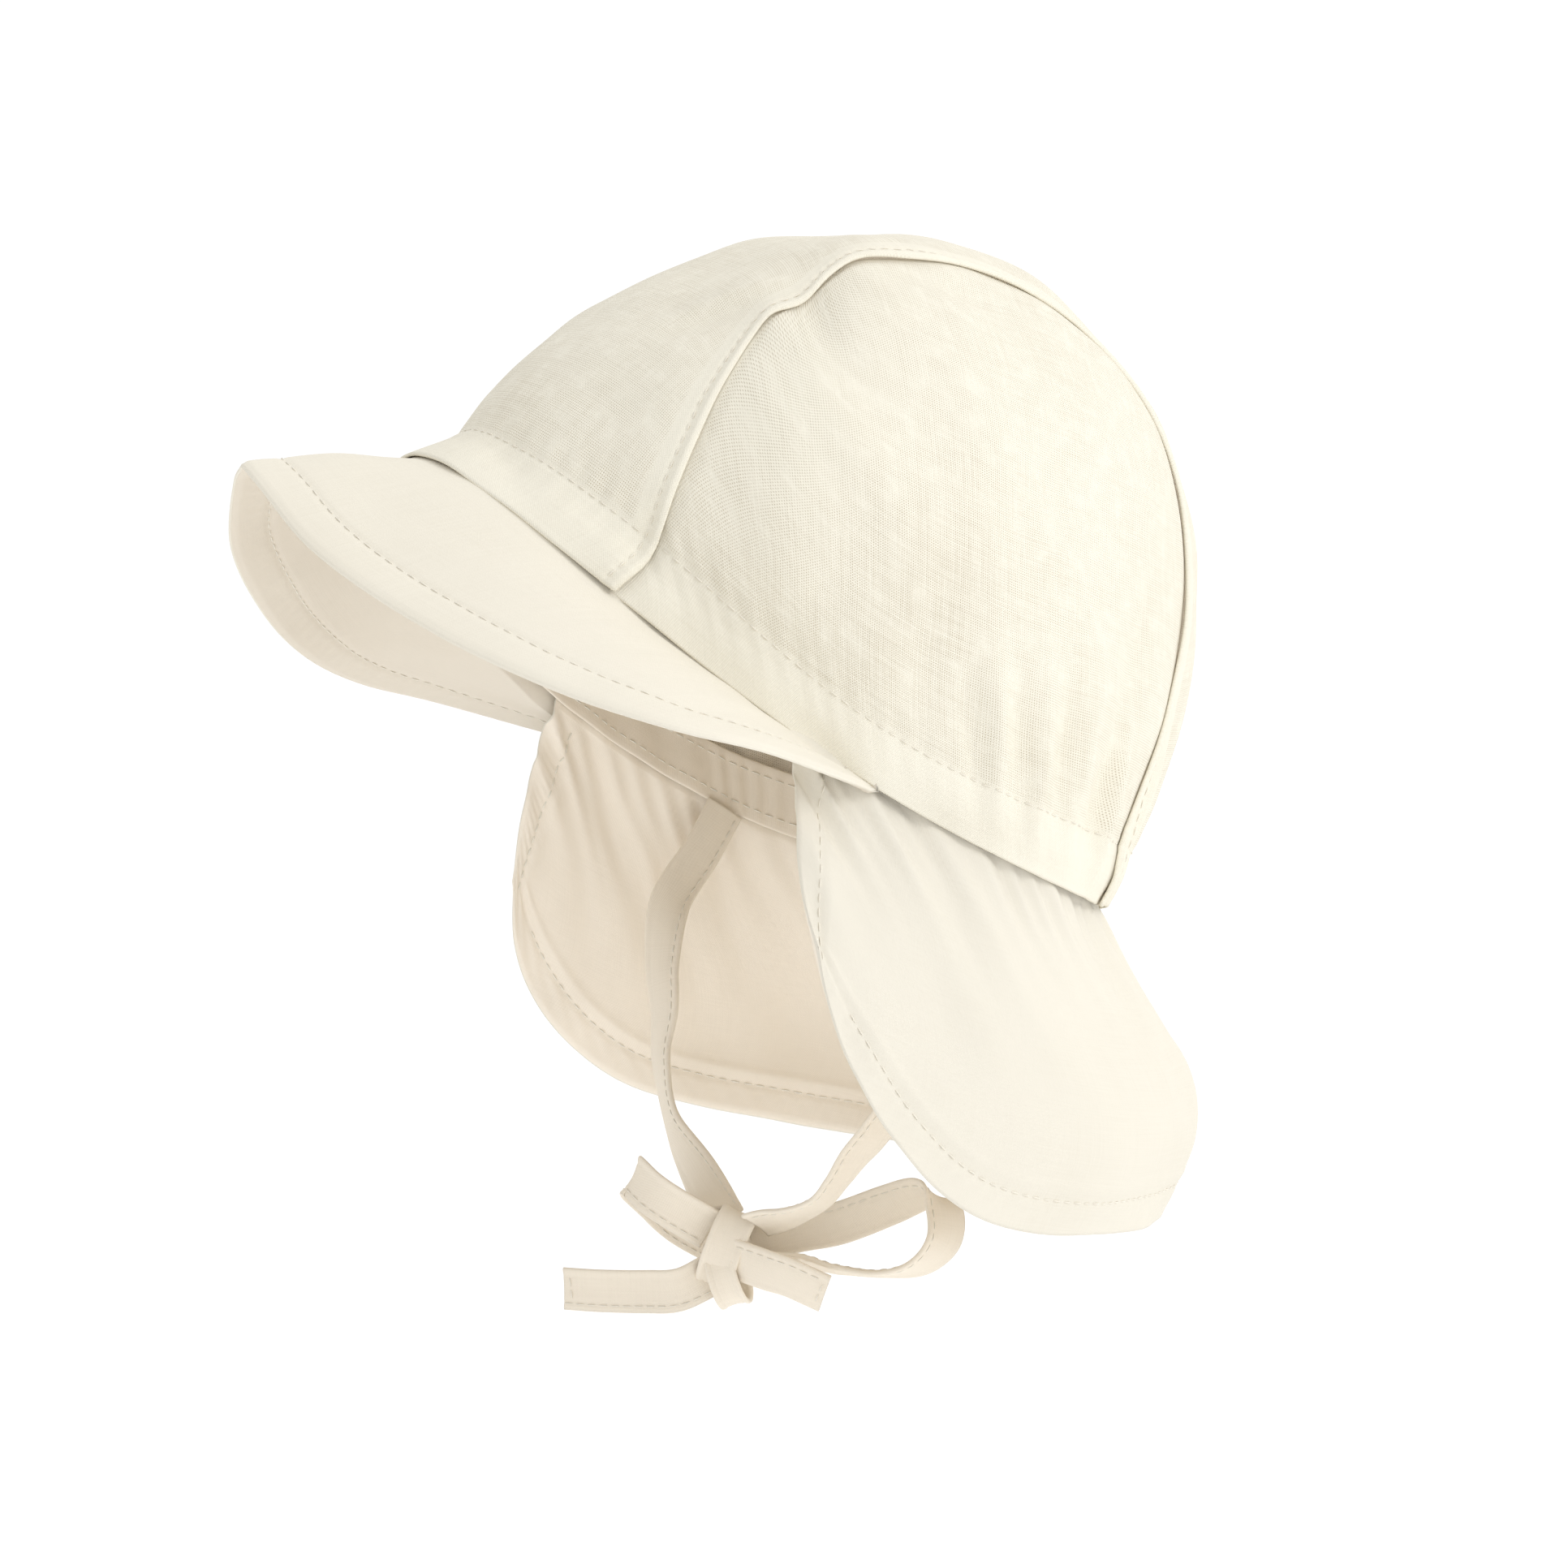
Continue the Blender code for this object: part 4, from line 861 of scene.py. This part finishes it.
# from the crown's lower edge down to the flap's own, pushed out by the belly profile and by sine folds,
# with the table's folds and small gathers on top
def makeFlap():
    even = np.linspace(1.0, -1.0, flap["columns"])
    around = 0.96 * even + 0.04 * even ** 3
    share = np.abs(around)
    half = np.pi - np.radians(flap["end"])
    angles = np.pi - around * half
    past = ease((half * (1 - share) - np.radians(peak["end"] - flap["end"])) / np.radians(flap["pastPeak"]))
    behindPeak, behindCrown = cap["peakWall"] + 2.5 * cap["gap"], cap["crownWall"] + 3 * cap["gap"]
    inset = behindPeak + (behindCrown - behindPeak) * past
    tucked, top = edgeLine(angles, inset, cap["seamTuck"]), edgeLine(angles, inset, -2 * cap["gap"])
    stations = column(flapEdge, "around")
    side, back, down = (smooth(stations, column(flapEdge, key), share) for key in ("side", "back", "down"))
    edge = stack(np.sign(around) * side * flap["halfWidth"], back * flap["backReach"],
                 -down * flap["drop"] - flap["sag"] * (ease(1.4 * around) - 0.5) * ease(2 * (1 - share)))
    depth = np.linspace(1.0, 0.0, flap["rows"])[:, None]
    points = top + (edge - top) * depth[..., None]
    profile = smooth(np.array(flapStations), np.array(flapProfile), depth)
    behind = 1 - ease((share - flap["smoothFrom"]) / flap["smoothSpan"])
    out = unit(stack(edge[:, 0], edge[:, 1], 0.0))
    bulge = np.sin(np.pi * np.minimum(0.75 * depth, 1.0)) ** 2
    folds = flap["fold"] * np.sin(flap["foldRate"] * around) * bulge
    points = points + out * (flap["belly"] * profile * behind + folds * behind)[..., None]
    points[..., 1] -= flap["frontBow"] * np.sin(np.pi * depth) * ease((share - 0.75) / 0.25)
    points = np.concatenate([points, tucked[None]])
    depth = np.concatenate([depth, [[-0.02]]])
    normals = gridNormals(points)
    normals[-3:] = normals[-4]
    reach, fallen, across = flapReach(points)
    u = across - across[:, across.shape[1] // 2][:, None]
    lift = np.zeros(u.shape)
    length = np.maximum(runLength(points, 0)[-1], 0.01)
    for row in flapFolds:
        b = u - np.interp(row["around"], around[::-1], u[len(u) // 2, ::-1])
        a = (depth - row["down"]) * length[None, :]
        lean = np.radians(row["lean"])
        a, b = a * np.cos(lean) + b * np.sin(lean), b * np.cos(lean) - a * np.sin(lean)
        lift += row["high"] * 1e-3 * hump(a, row["long"] * 1e-3) * hump(b, row["wide"] * 1e-3)
    shift = 2.2 * ripples(u, 0 * u, 51, 0.06, 0.02)
    gathers = flap["gather"] * np.sin(2 * np.pi * u / flap["gatherPitch"] + shift)
    lift += gathers * hump(fallen - 0.008, 0.008)
    lift += 0.0008 * ripples(u, fallen, 53, 0.07, 0.02) * ease(reach / 0.01)
    lift *= ease(fallen / 0.005)
    waver = 0.0007 * ripples(u, fallen, 55, 0.045, 0.014) * hump(reach, 0.012)
    lift += waver * ease(fallen / 0.02)
    groove = 0.9 * hump(reach - flap["stitchIn"], 0.0008)
    hem = flap["hemHigh"] * (hump(reach - flap["hemIn"], 0.0011) - groove)
    pucker = 0.00012 * np.sin(2 * np.pi * (u + fallen) / 0.0052) * hump(reach - 0.005, 0.003)
    wall = cap["flapWall"] * (0.55 + 0.45 * ease(reach / 0.0012))
    outer = points + normals * (lift + 0.6 * hem + pucker)[..., None]
    inner = points + normals * (lift - wall - hem - pucker)[..., None]
    piece = clothPiece("neckFlapCloth", outer, inner, np.stack([u, fallen], axis=-1), np.ones(u.shape),
                       [flapPoplinShade, flapInsideLight], ["neck_flap"], "neck_flap")
    paths = []
    keep = slice(flap["cornerColumns"], -flap["cornerColumns"])
    for face, sign in ((outer, 1), (inner, -1)):
        faceNormals = gridNormals(face) * sign
        fall, turned = face.transpose(1, 0, 2)[keep], faceNormals.transpose(1, 0, 2)[keep]
        run = runLength(points, 0).T[keep]
        paths.append((lineAt(fall, run, flap["stitchIn"]), lineAt(turned, run, flap["stitchIn"])))
        for order in (1, -1):
            run = np.abs(across - across[:, :1]) if order > 0 else (across[:, -1:] - across)[:, ::-1]
            rows = slice(9, -3)
            paths.append((lineAt(face[rows, ::order], run[rows], flap["stitchIn"]),
                          lineAt(faceNormals[rows, ::order], run[rows], flap["stitchIn"])))
    return paths


flapPaths = makeFlap()
stitchRows("flapStitches", flapPaths, crown["stitch"], thread, "neck_flap")
print("neck flap made")


# ties and bow

tieLeftRoute = (
    dict(side=1.000, back=1.000, down=0.000, turn=0.0),
    dict(side=0.943, back=0.911, down=0.155, turn=4.0),
    dict(side=0.853, back=0.823, down=0.340, turn=8.0),
    dict(side=0.720, back=0.734, down=0.525, turn=12.0),
    dict(side=0.576, back=0.590, down=0.664, turn=16.0),
    dict(side=0.485, back=0.495, down=0.735, turn=22.0),
    dict(side=0.418, back=0.433, down=0.790, turn=30.0),
    dict(side=0.340, back=0.365, down=0.845, turn=32.0),
    dict(side=0.225, back=0.260, down=0.890, turn=28.0),
    dict(side=0.100, back=0.120, down=0.925, turn=22.0),
)
tieRightRoute = (
    dict(side=1.000, back=1.000, down=0.000, turn=0.0),
    dict(side=0.965, back=0.760, down=0.110, turn=8.0),
    dict(side=0.925, back=0.450, down=0.225, turn=30.0),
    dict(side=0.870, back=0.330, down=0.360, turn=62.0),
    dict(side=0.800, back=0.260, down=0.480, turn=78.0),
    dict(side=0.755, back=0.180, down=0.600, turn=94.0),
    dict(side=0.560, back=0.125, down=0.760, turn=102.0),
    dict(side=0.275, back=0.055, down=0.850, turn=66.0),
    dict(side=0.040, back=0.000, down=0.900, turn=20.0),
)
# each strip has its node, the edges that carry stitches, and its route: along, up and toward are shares of
# the bow's reach from the knot, and wa, wu and wt are the width's direction on the same three axes
bowRoutes = dict(
    bowLoopLeft=("bow_loop_left", (-1,), (
        dict(along=-0.070, up=0.100, toward=0.020, wa=0.48, wu=0.87, wt=0.00),
        dict(along=-0.205, up=0.192, toward=0.085, wa=0.48, wu=0.87, wt=0.00),
        dict(along=-0.310, up=0.258, toward=0.090, wa=0.48, wu=0.87, wt=0.00),
        dict(along=-0.400, up=0.312, toward=0.030, wa=0.45, wu=0.89, wt=0.00),
        dict(along=-0.400, up=0.265, toward=-0.050, wa=0.42, wu=0.90, wt=0.00),
        dict(along=-0.330, up=0.175, toward=-0.105, wa=0.35, wu=0.93, wt=0.00),
        dict(along=-0.250, up=0.095, toward=-0.115, wa=0.25, wu=0.96, wt=0.00),
        dict(along=-0.080, up=0.030, toward=-0.040, wa=0.10, wu=0.99, wt=0.00),
    )),
    bowLoopRight=("bow_loop_right", (1,), (
        dict(along=0.080, up=0.040, toward=-0.050, wa=-0.25, wu=0.97, wt=0.00),
        dict(along=0.270, up=0.085, toward=-0.110, wa=-0.30, wu=0.95, wt=0.00),
        dict(along=0.440, up=0.120, toward=-0.125, wa=-0.32, wu=0.94, wt=0.10),
        dict(along=0.660, up=0.205, toward=-0.115, wa=-0.36, wu=0.88, wt=0.25),
        dict(along=0.840, up=0.270, toward=-0.080, wa=-0.50, wu=0.60, wt=0.60),
        dict(along=0.920, up=0.215, toward=-0.020, wa=-0.72, wu=0.15, wt=0.68),
        dict(along=0.920, up=0.095, toward=0.030, wa=-0.62, wu=0.22, wt=0.75),
        dict(along=0.815, up=-0.008, toward=0.050, wa=-0.35, wu=0.30, wt=0.88),
        dict(along=0.650, up=-0.050, toward=0.045, wa=-0.05, wu=0.22, wt=0.97),
        dict(along=0.480, up=-0.040, toward=0.020, wa=0.00, wu=0.30, wt=0.95),
        dict(along=0.320, up=-0.015, toward=-0.010, wa=0.00, wu=0.45, wt=0.89),
        dict(along=0.090, up=-0.040, toward=-0.030, wa=0.00, wu=0.60, wt=0.80),
    )),
    bowEndLeft=("bow_end_left", (-1,), (
        dict(along=-0.070, up=-0.090, toward=0.010, wa=0.02, wu=0.99, wt=0.00),
        dict(along=-0.200, up=-0.152, toward=0.060, wa=0.15, wu=0.99, wt=0.00),
        dict(along=-0.330, up=-0.166, toward=0.065, wa=0.03, wu=1.00, wt=0.00),
        dict(along=-0.500, up=-0.172, toward=0.060, wa=-0.05, wu=1.00, wt=0.05),
        dict(along=-0.700, up=-0.172, toward=0.040, wa=-0.12, wu=0.99, wt=0.05),
    )),
    bowEndRight=("bow_end_right", (1,), (
        dict(along=0.030, up=-0.010, toward=0.070, wa=0.15, wu=0.95, wt=0.20),
        dict(along=0.190, up=-0.045, toward=0.135, wa=0.30, wu=0.90, wt=0.25),
        dict(along=0.310, up=-0.072, toward=0.150, wa=0.37, wu=0.88, wt=0.30),
        dict(along=0.450, up=-0.130, toward=0.150, wa=0.40, wu=0.86, wt=0.30),
    )),
)
tape = dict(
    width=0.0092, wall=0.0010, hem=0.00016, cup=0.0005, stitchIn=0.0015, seam=94.0, knotDrop=0.119,
    knotForward=0.0042, bowTurn=50.0, bowReach=0.050, slack=0.00035, stitched=(1,),
    endRows=5, endReach=0.36, endPoints=12, endLift=0.0007,
)
knot = dict(width=0.0115, height=0.0165, depth=0.0088, wrapWall=0.0011)
bowTurn = np.radians(tape["bowTurn"])
bowAxes = np.array([
    [np.cos(bowTurn), np.sin(bowTurn), 0.0],  # along the bow
    [0.0, 0.0, 1.0],  # up
    [np.sin(bowTurn), -np.cos(bowTurn), 0.0],  # toward the viewer
])
knotCentre = np.array([0.0, -tape["knotForward"], -tape["knotDrop"]])


# a smooth path from the seam at the ear to the knot, in shares of the way between them; the tape's width
# starts along the seam and then turns about the path by the route's angle
def makeTie(name, node, hand, route):
    angle = np.mod(hand * np.radians(tape["seam"]), 2 * np.pi)
    inset = cap["crownWall"] + cap["flapWall"] + tape["wall"] + 8 * cap["gap"]
    ahead, start, after = edgeLine(np.array([angle - 0.05, angle, angle + 0.05]), inset, -2 * cap["gap"])
    steps = np.linspace(0.0, 1.0, 150)
    side, back, down, turn = smoothRows(route, ("side", "back", "down", "turn"), steps)
    centres = stack(hand * side * abs(start[0]), knotCentre[1] + back * (start[1] - knotCentre[1]),
                    start[2] + down * (knotCentre[2] - start[2]))
    along = unit(np.gradient(centres, axis=0))
    level = unit(np.cross(along, np.array([float(hand), 0.0, 0.0])))
    turned = np.radians(turn)[:, None]
    widths = level * np.cos(turned) + hand * unit(np.cross(level, along)) * np.sin(turned)
    sewn = 1 - ease(steps / 0.2)[:, None]
    widths = widths * (1 - sewn) + unit(ahead - after) * sewn
    run = runLength(centres[None], 1)[0]
    centres = centres + 0.0004 * np.sin(run / 0.0065 + hand)[:, None] * unit(np.cross(widths, along))
    return tapePiece(name, centres, widths, tape, tapeCloth, [node], node)[1]


# a smooth path through the route's points, moved off its face by slack * sin(run / 4.2 mm); an end strip
# has a line of stitches across its hem
def makeBowStrip(name, node, stitched, route, slack):
    at = np.linspace(0.0, 1.0, 30 + 14 * len(route))
    placed = np.stack(smoothRows(route, ("along", "up", "toward"), at), axis=-1)
    centres = knotCentre + tape["bowReach"] * placed @ bowAxes
    widths = np.stack(smoothRows(route, ("wa", "wu", "wt"), at), axis=-1) @ bowAxes
    run = runLength(centres[None], 1)[0]
    normal = unit(np.cross(unit(widths), unit(np.gradient(centres, axis=0))))
    centres = centres + slack * (np.sin(run / 0.0042) * np.sin(np.pi * at))[:, None] * normal
    lines = tapePiece(name, centres, widths, dict(tape, stitched=stitched), tapeCloth, [node], node)[1]
    last = len(centres) - tape["endRows"]
    hemmed = []
    if "End" in name:
        reach = np.linspace(-tape["endReach"], tape["endReach"], tape["endPoints"])[:, None]
        across = reach * tape["width"] * unit(widths[last])
        out = -normal[last] if np.dot(normal[last], bowAxes[2]) < 0 else normal[last]
        middle = centres[last] + out * tape["endLift"]
        hemmed = [(middle + across, np.repeat(out[None], tape["endPoints"], axis=0))]
    return list(lines) + hemmed


# the knot: a rounded core, and turns of tape that run round it as leaning ellipses
def makeKnot():
    v, u = np.linspace(0, np.pi, 40)[1:-1], np.linspace(0, 2 * np.pi, 56, endpoint=False)
    v, u = np.meshgrid(v, u, indexing="ij")
    r = 0.43 * (1 + 0.05 * np.sin(3 * u + 2 * v) + 0.035 * np.sin(5 * v - 2 * u))
    local = stack(r * np.sin(v) * np.cos(u) * knot["width"], r * np.cos(v) * knot["height"],
                  r * np.sin(v) * np.sin(u) * knot["depth"])
    poles = np.array([[0, r[0, 0] * knot["height"], 0], [0, -r[0, 0] * knot["height"], 0]])
    points = np.concatenate([local.reshape(-1, 3), poles]) @ bowAxes + knotCentre
    rows, sides = local.shape[:2]
    ring = np.arange(sides)
    after = (ring + 1) % sides
    top, bottom = rows * sides, rows * sides + 1
    faces = gridQuads(rows, sides, True).tolist()
    faces += np.stack([ring, np.full(sides, top), after], axis=-1)[:, ::-1].tolist()
    low = (rows - 1) * sides
    faces += np.stack([low + after, np.full(sides, bottom), low + ring], axis=-1)[:, ::-1].tolist()
    uv = np.concatenate([np.stack([u * 0.006, v * 0.006], axis=-1).reshape(-1, 2), [[0, 0], [0, 0.018]]])
    mesh = makeMesh("bowKnotCore", points, faces, uv, np.ones(len(points)))
    addPiece("bowKnotCore", mesh, [tapeCloth], ["bow_knot"], "bow_knot")
    t = np.linspace(0, 2 * np.pi, 96, endpoint=False)[:, None]
    rise = np.array([[0.10, 0.995, 0.0]]) @ bowAxes
    lean = np.array([[0.80, -0.30, 0.0]]) @ bowAxes
    for name, lift, tilt, size in (("bowKnotWrap", 0.0009, 0.30, 1.0), ("bowKnotLobe", -0.0042, -0.55, 0.80)):
        axisUp = unit(rise + tilt * lean)
        centres = (knotCentre + bowAxes[1] * lift + np.cos(t) * axisUp * 0.47 * knot["height"] * size
                   + np.sin(t) * bowAxes[2] * 0.49 * knot["depth"])
        widths = unit(np.cross(axisUp, bowAxes[2])) + 0.0 * centres
        look = dict(tape, width=0.0082 * size, cup=-0.0007, wall=knot["wrapWall"])
        tapePiece(name, centres, widths, look, tapeCloth, ["bow_knot"], "bow_knot", True)


tapeStitch = dict(pitch=0.0026, length=0.0019, radius=0.00013, lift=0.00003)
tiePaths = makeTie("tieLeftTape", "tie_left", 1, tieLeftRoute)
tiePaths += makeTie("tieRightTape", "tie_right", -1, tieRightRoute)
for name, (node, stitched, route) in bowRoutes.items():
    tiePaths += makeBowStrip(name, node, stitched, route, tape["slack"])
makeKnot()
stitchRows("tapeStitches", tiePaths, tapeStitch, thread, "tie_left")
print("ties and bow made")


# studio: floor, soft light and the camera

studio = dict(azimuth=64.0, climb=4.6, distance=1.05, target=(0.0, 0.0088, -0.021), lens=115.43,
              floor=-0.33, floorHalf=9.0, sky=1.05, skyLevel=0.94, skyLean=0.17)
studioLights = (
    dict(name="key", place=(1.55, 1.15, 1.1), size=0.9, power=11.0),
    dict(name="top", place=(0.2, 0.6, 1.8), size=0.9, power=3.0),
)
camera = bpy.data.objects.new("camera", bpy.data.cameras.new("camera"))
bpy.context.scene.collection.objects.link(camera)
camera.data.sensor_width = 36.0
camera.data.lens = studio["lens"]
azimuth, climb = np.radians(studio["azimuth"]), np.radians(studio["climb"])
toCamera = Vector((np.sin(azimuth) * np.cos(climb), -np.cos(azimuth) * np.cos(climb), np.sin(climb)))
camera.location = Vector(studio["target"]) + toCamera * studio["distance"]
camera.rotation_euler = (-toCamera).to_track_quat("-Z", "Y").to_euler()
bpy.context.scene.camera = camera

half = studio["floorHalf"]
floorCorners = np.array([[-half, -half, 0], [half, -half, 0], [half, half, 0], [-half, half, 0]])
floorMesh = makeMesh("floor", floorCorners + [0, 0, studio["floor"]], [[0, 1, 2, 3]])
floorFinish = bpy.data.materials.new("pale floor")
floorFinish.use_nodes = True
floorShader = floorFinish.node_tree.nodes["Principled BSDF"]
floorShader.inputs["Base Color"].default_value = (0.98, 0.98, 0.98, 1.0)
floorShader.inputs["Roughness"].default_value = 0.9
floorShader.inputs["Emission Color"].default_value = (1.0, 1.0, 1.0, 1.0)
floorShader.inputs["Emission Strength"].default_value = 0.12
floorMesh.materials.append(floorFinish)
floor = bpy.data.objects.new("floor", floorMesh)
bpy.context.scene.collection.objects.link(floor)

world = bpy.data.worlds.new("studio")
world.use_nodes = True
sky = world.node_tree
# the light is softer from the front: strength = level + lean * y of its direction;
# what is seen behind the cap stays white
split = sky.nodes.new("ShaderNodeSeparateXYZ")
leaning = sky.nodes.new("ShaderNodeMath")
leaning.operation = "MULTIPLY_ADD"
leaning.inputs[1].default_value = studio["skyLean"]
leaning.inputs[2].default_value = studio["skyLevel"]
seen = sky.nodes.new("ShaderNodeLightPath")
strength = sky.nodes.new("ShaderNodeMath")
strength.operation = "MAXIMUM"
whiter = sky.nodes.new("ShaderNodeMath")
whiter.operation = "MULTIPLY"
whiter.inputs[1].default_value = studio["sky"]
sky.links.new(sky.nodes.new("ShaderNodeTexCoord").outputs["Generated"], split.inputs[0])
sky.links.new(split.outputs["Y"], leaning.inputs[0])
sky.links.new(seen.outputs["Is Camera Ray"], whiter.inputs[0])
sky.links.new(leaning.outputs[0], strength.inputs[0])
sky.links.new(whiter.outputs[0], strength.inputs[1])
sky.links.new(strength.outputs[0], sky.nodes["Background"].inputs["Strength"])
sky.nodes["Background"].inputs["Color"].default_value = (1.0, 1.0, 1.0, 1.0)
bpy.context.scene.world = world
bpy.context.scene.view_settings.view_transform = "Standard"

for row in studioLights:
    data = bpy.data.lights.new(row["name"], "AREA")
    data.size = row["size"]
    data.energy = row["power"]
    light = bpy.data.objects.new(row["name"], data)
    light.location = row["place"]
    light.rotation_euler = (-Vector(row["place"])).to_track_quat("-Z", "Y").to_euler()
    bpy.context.scene.collection.objects.link(light)

print("scene made")
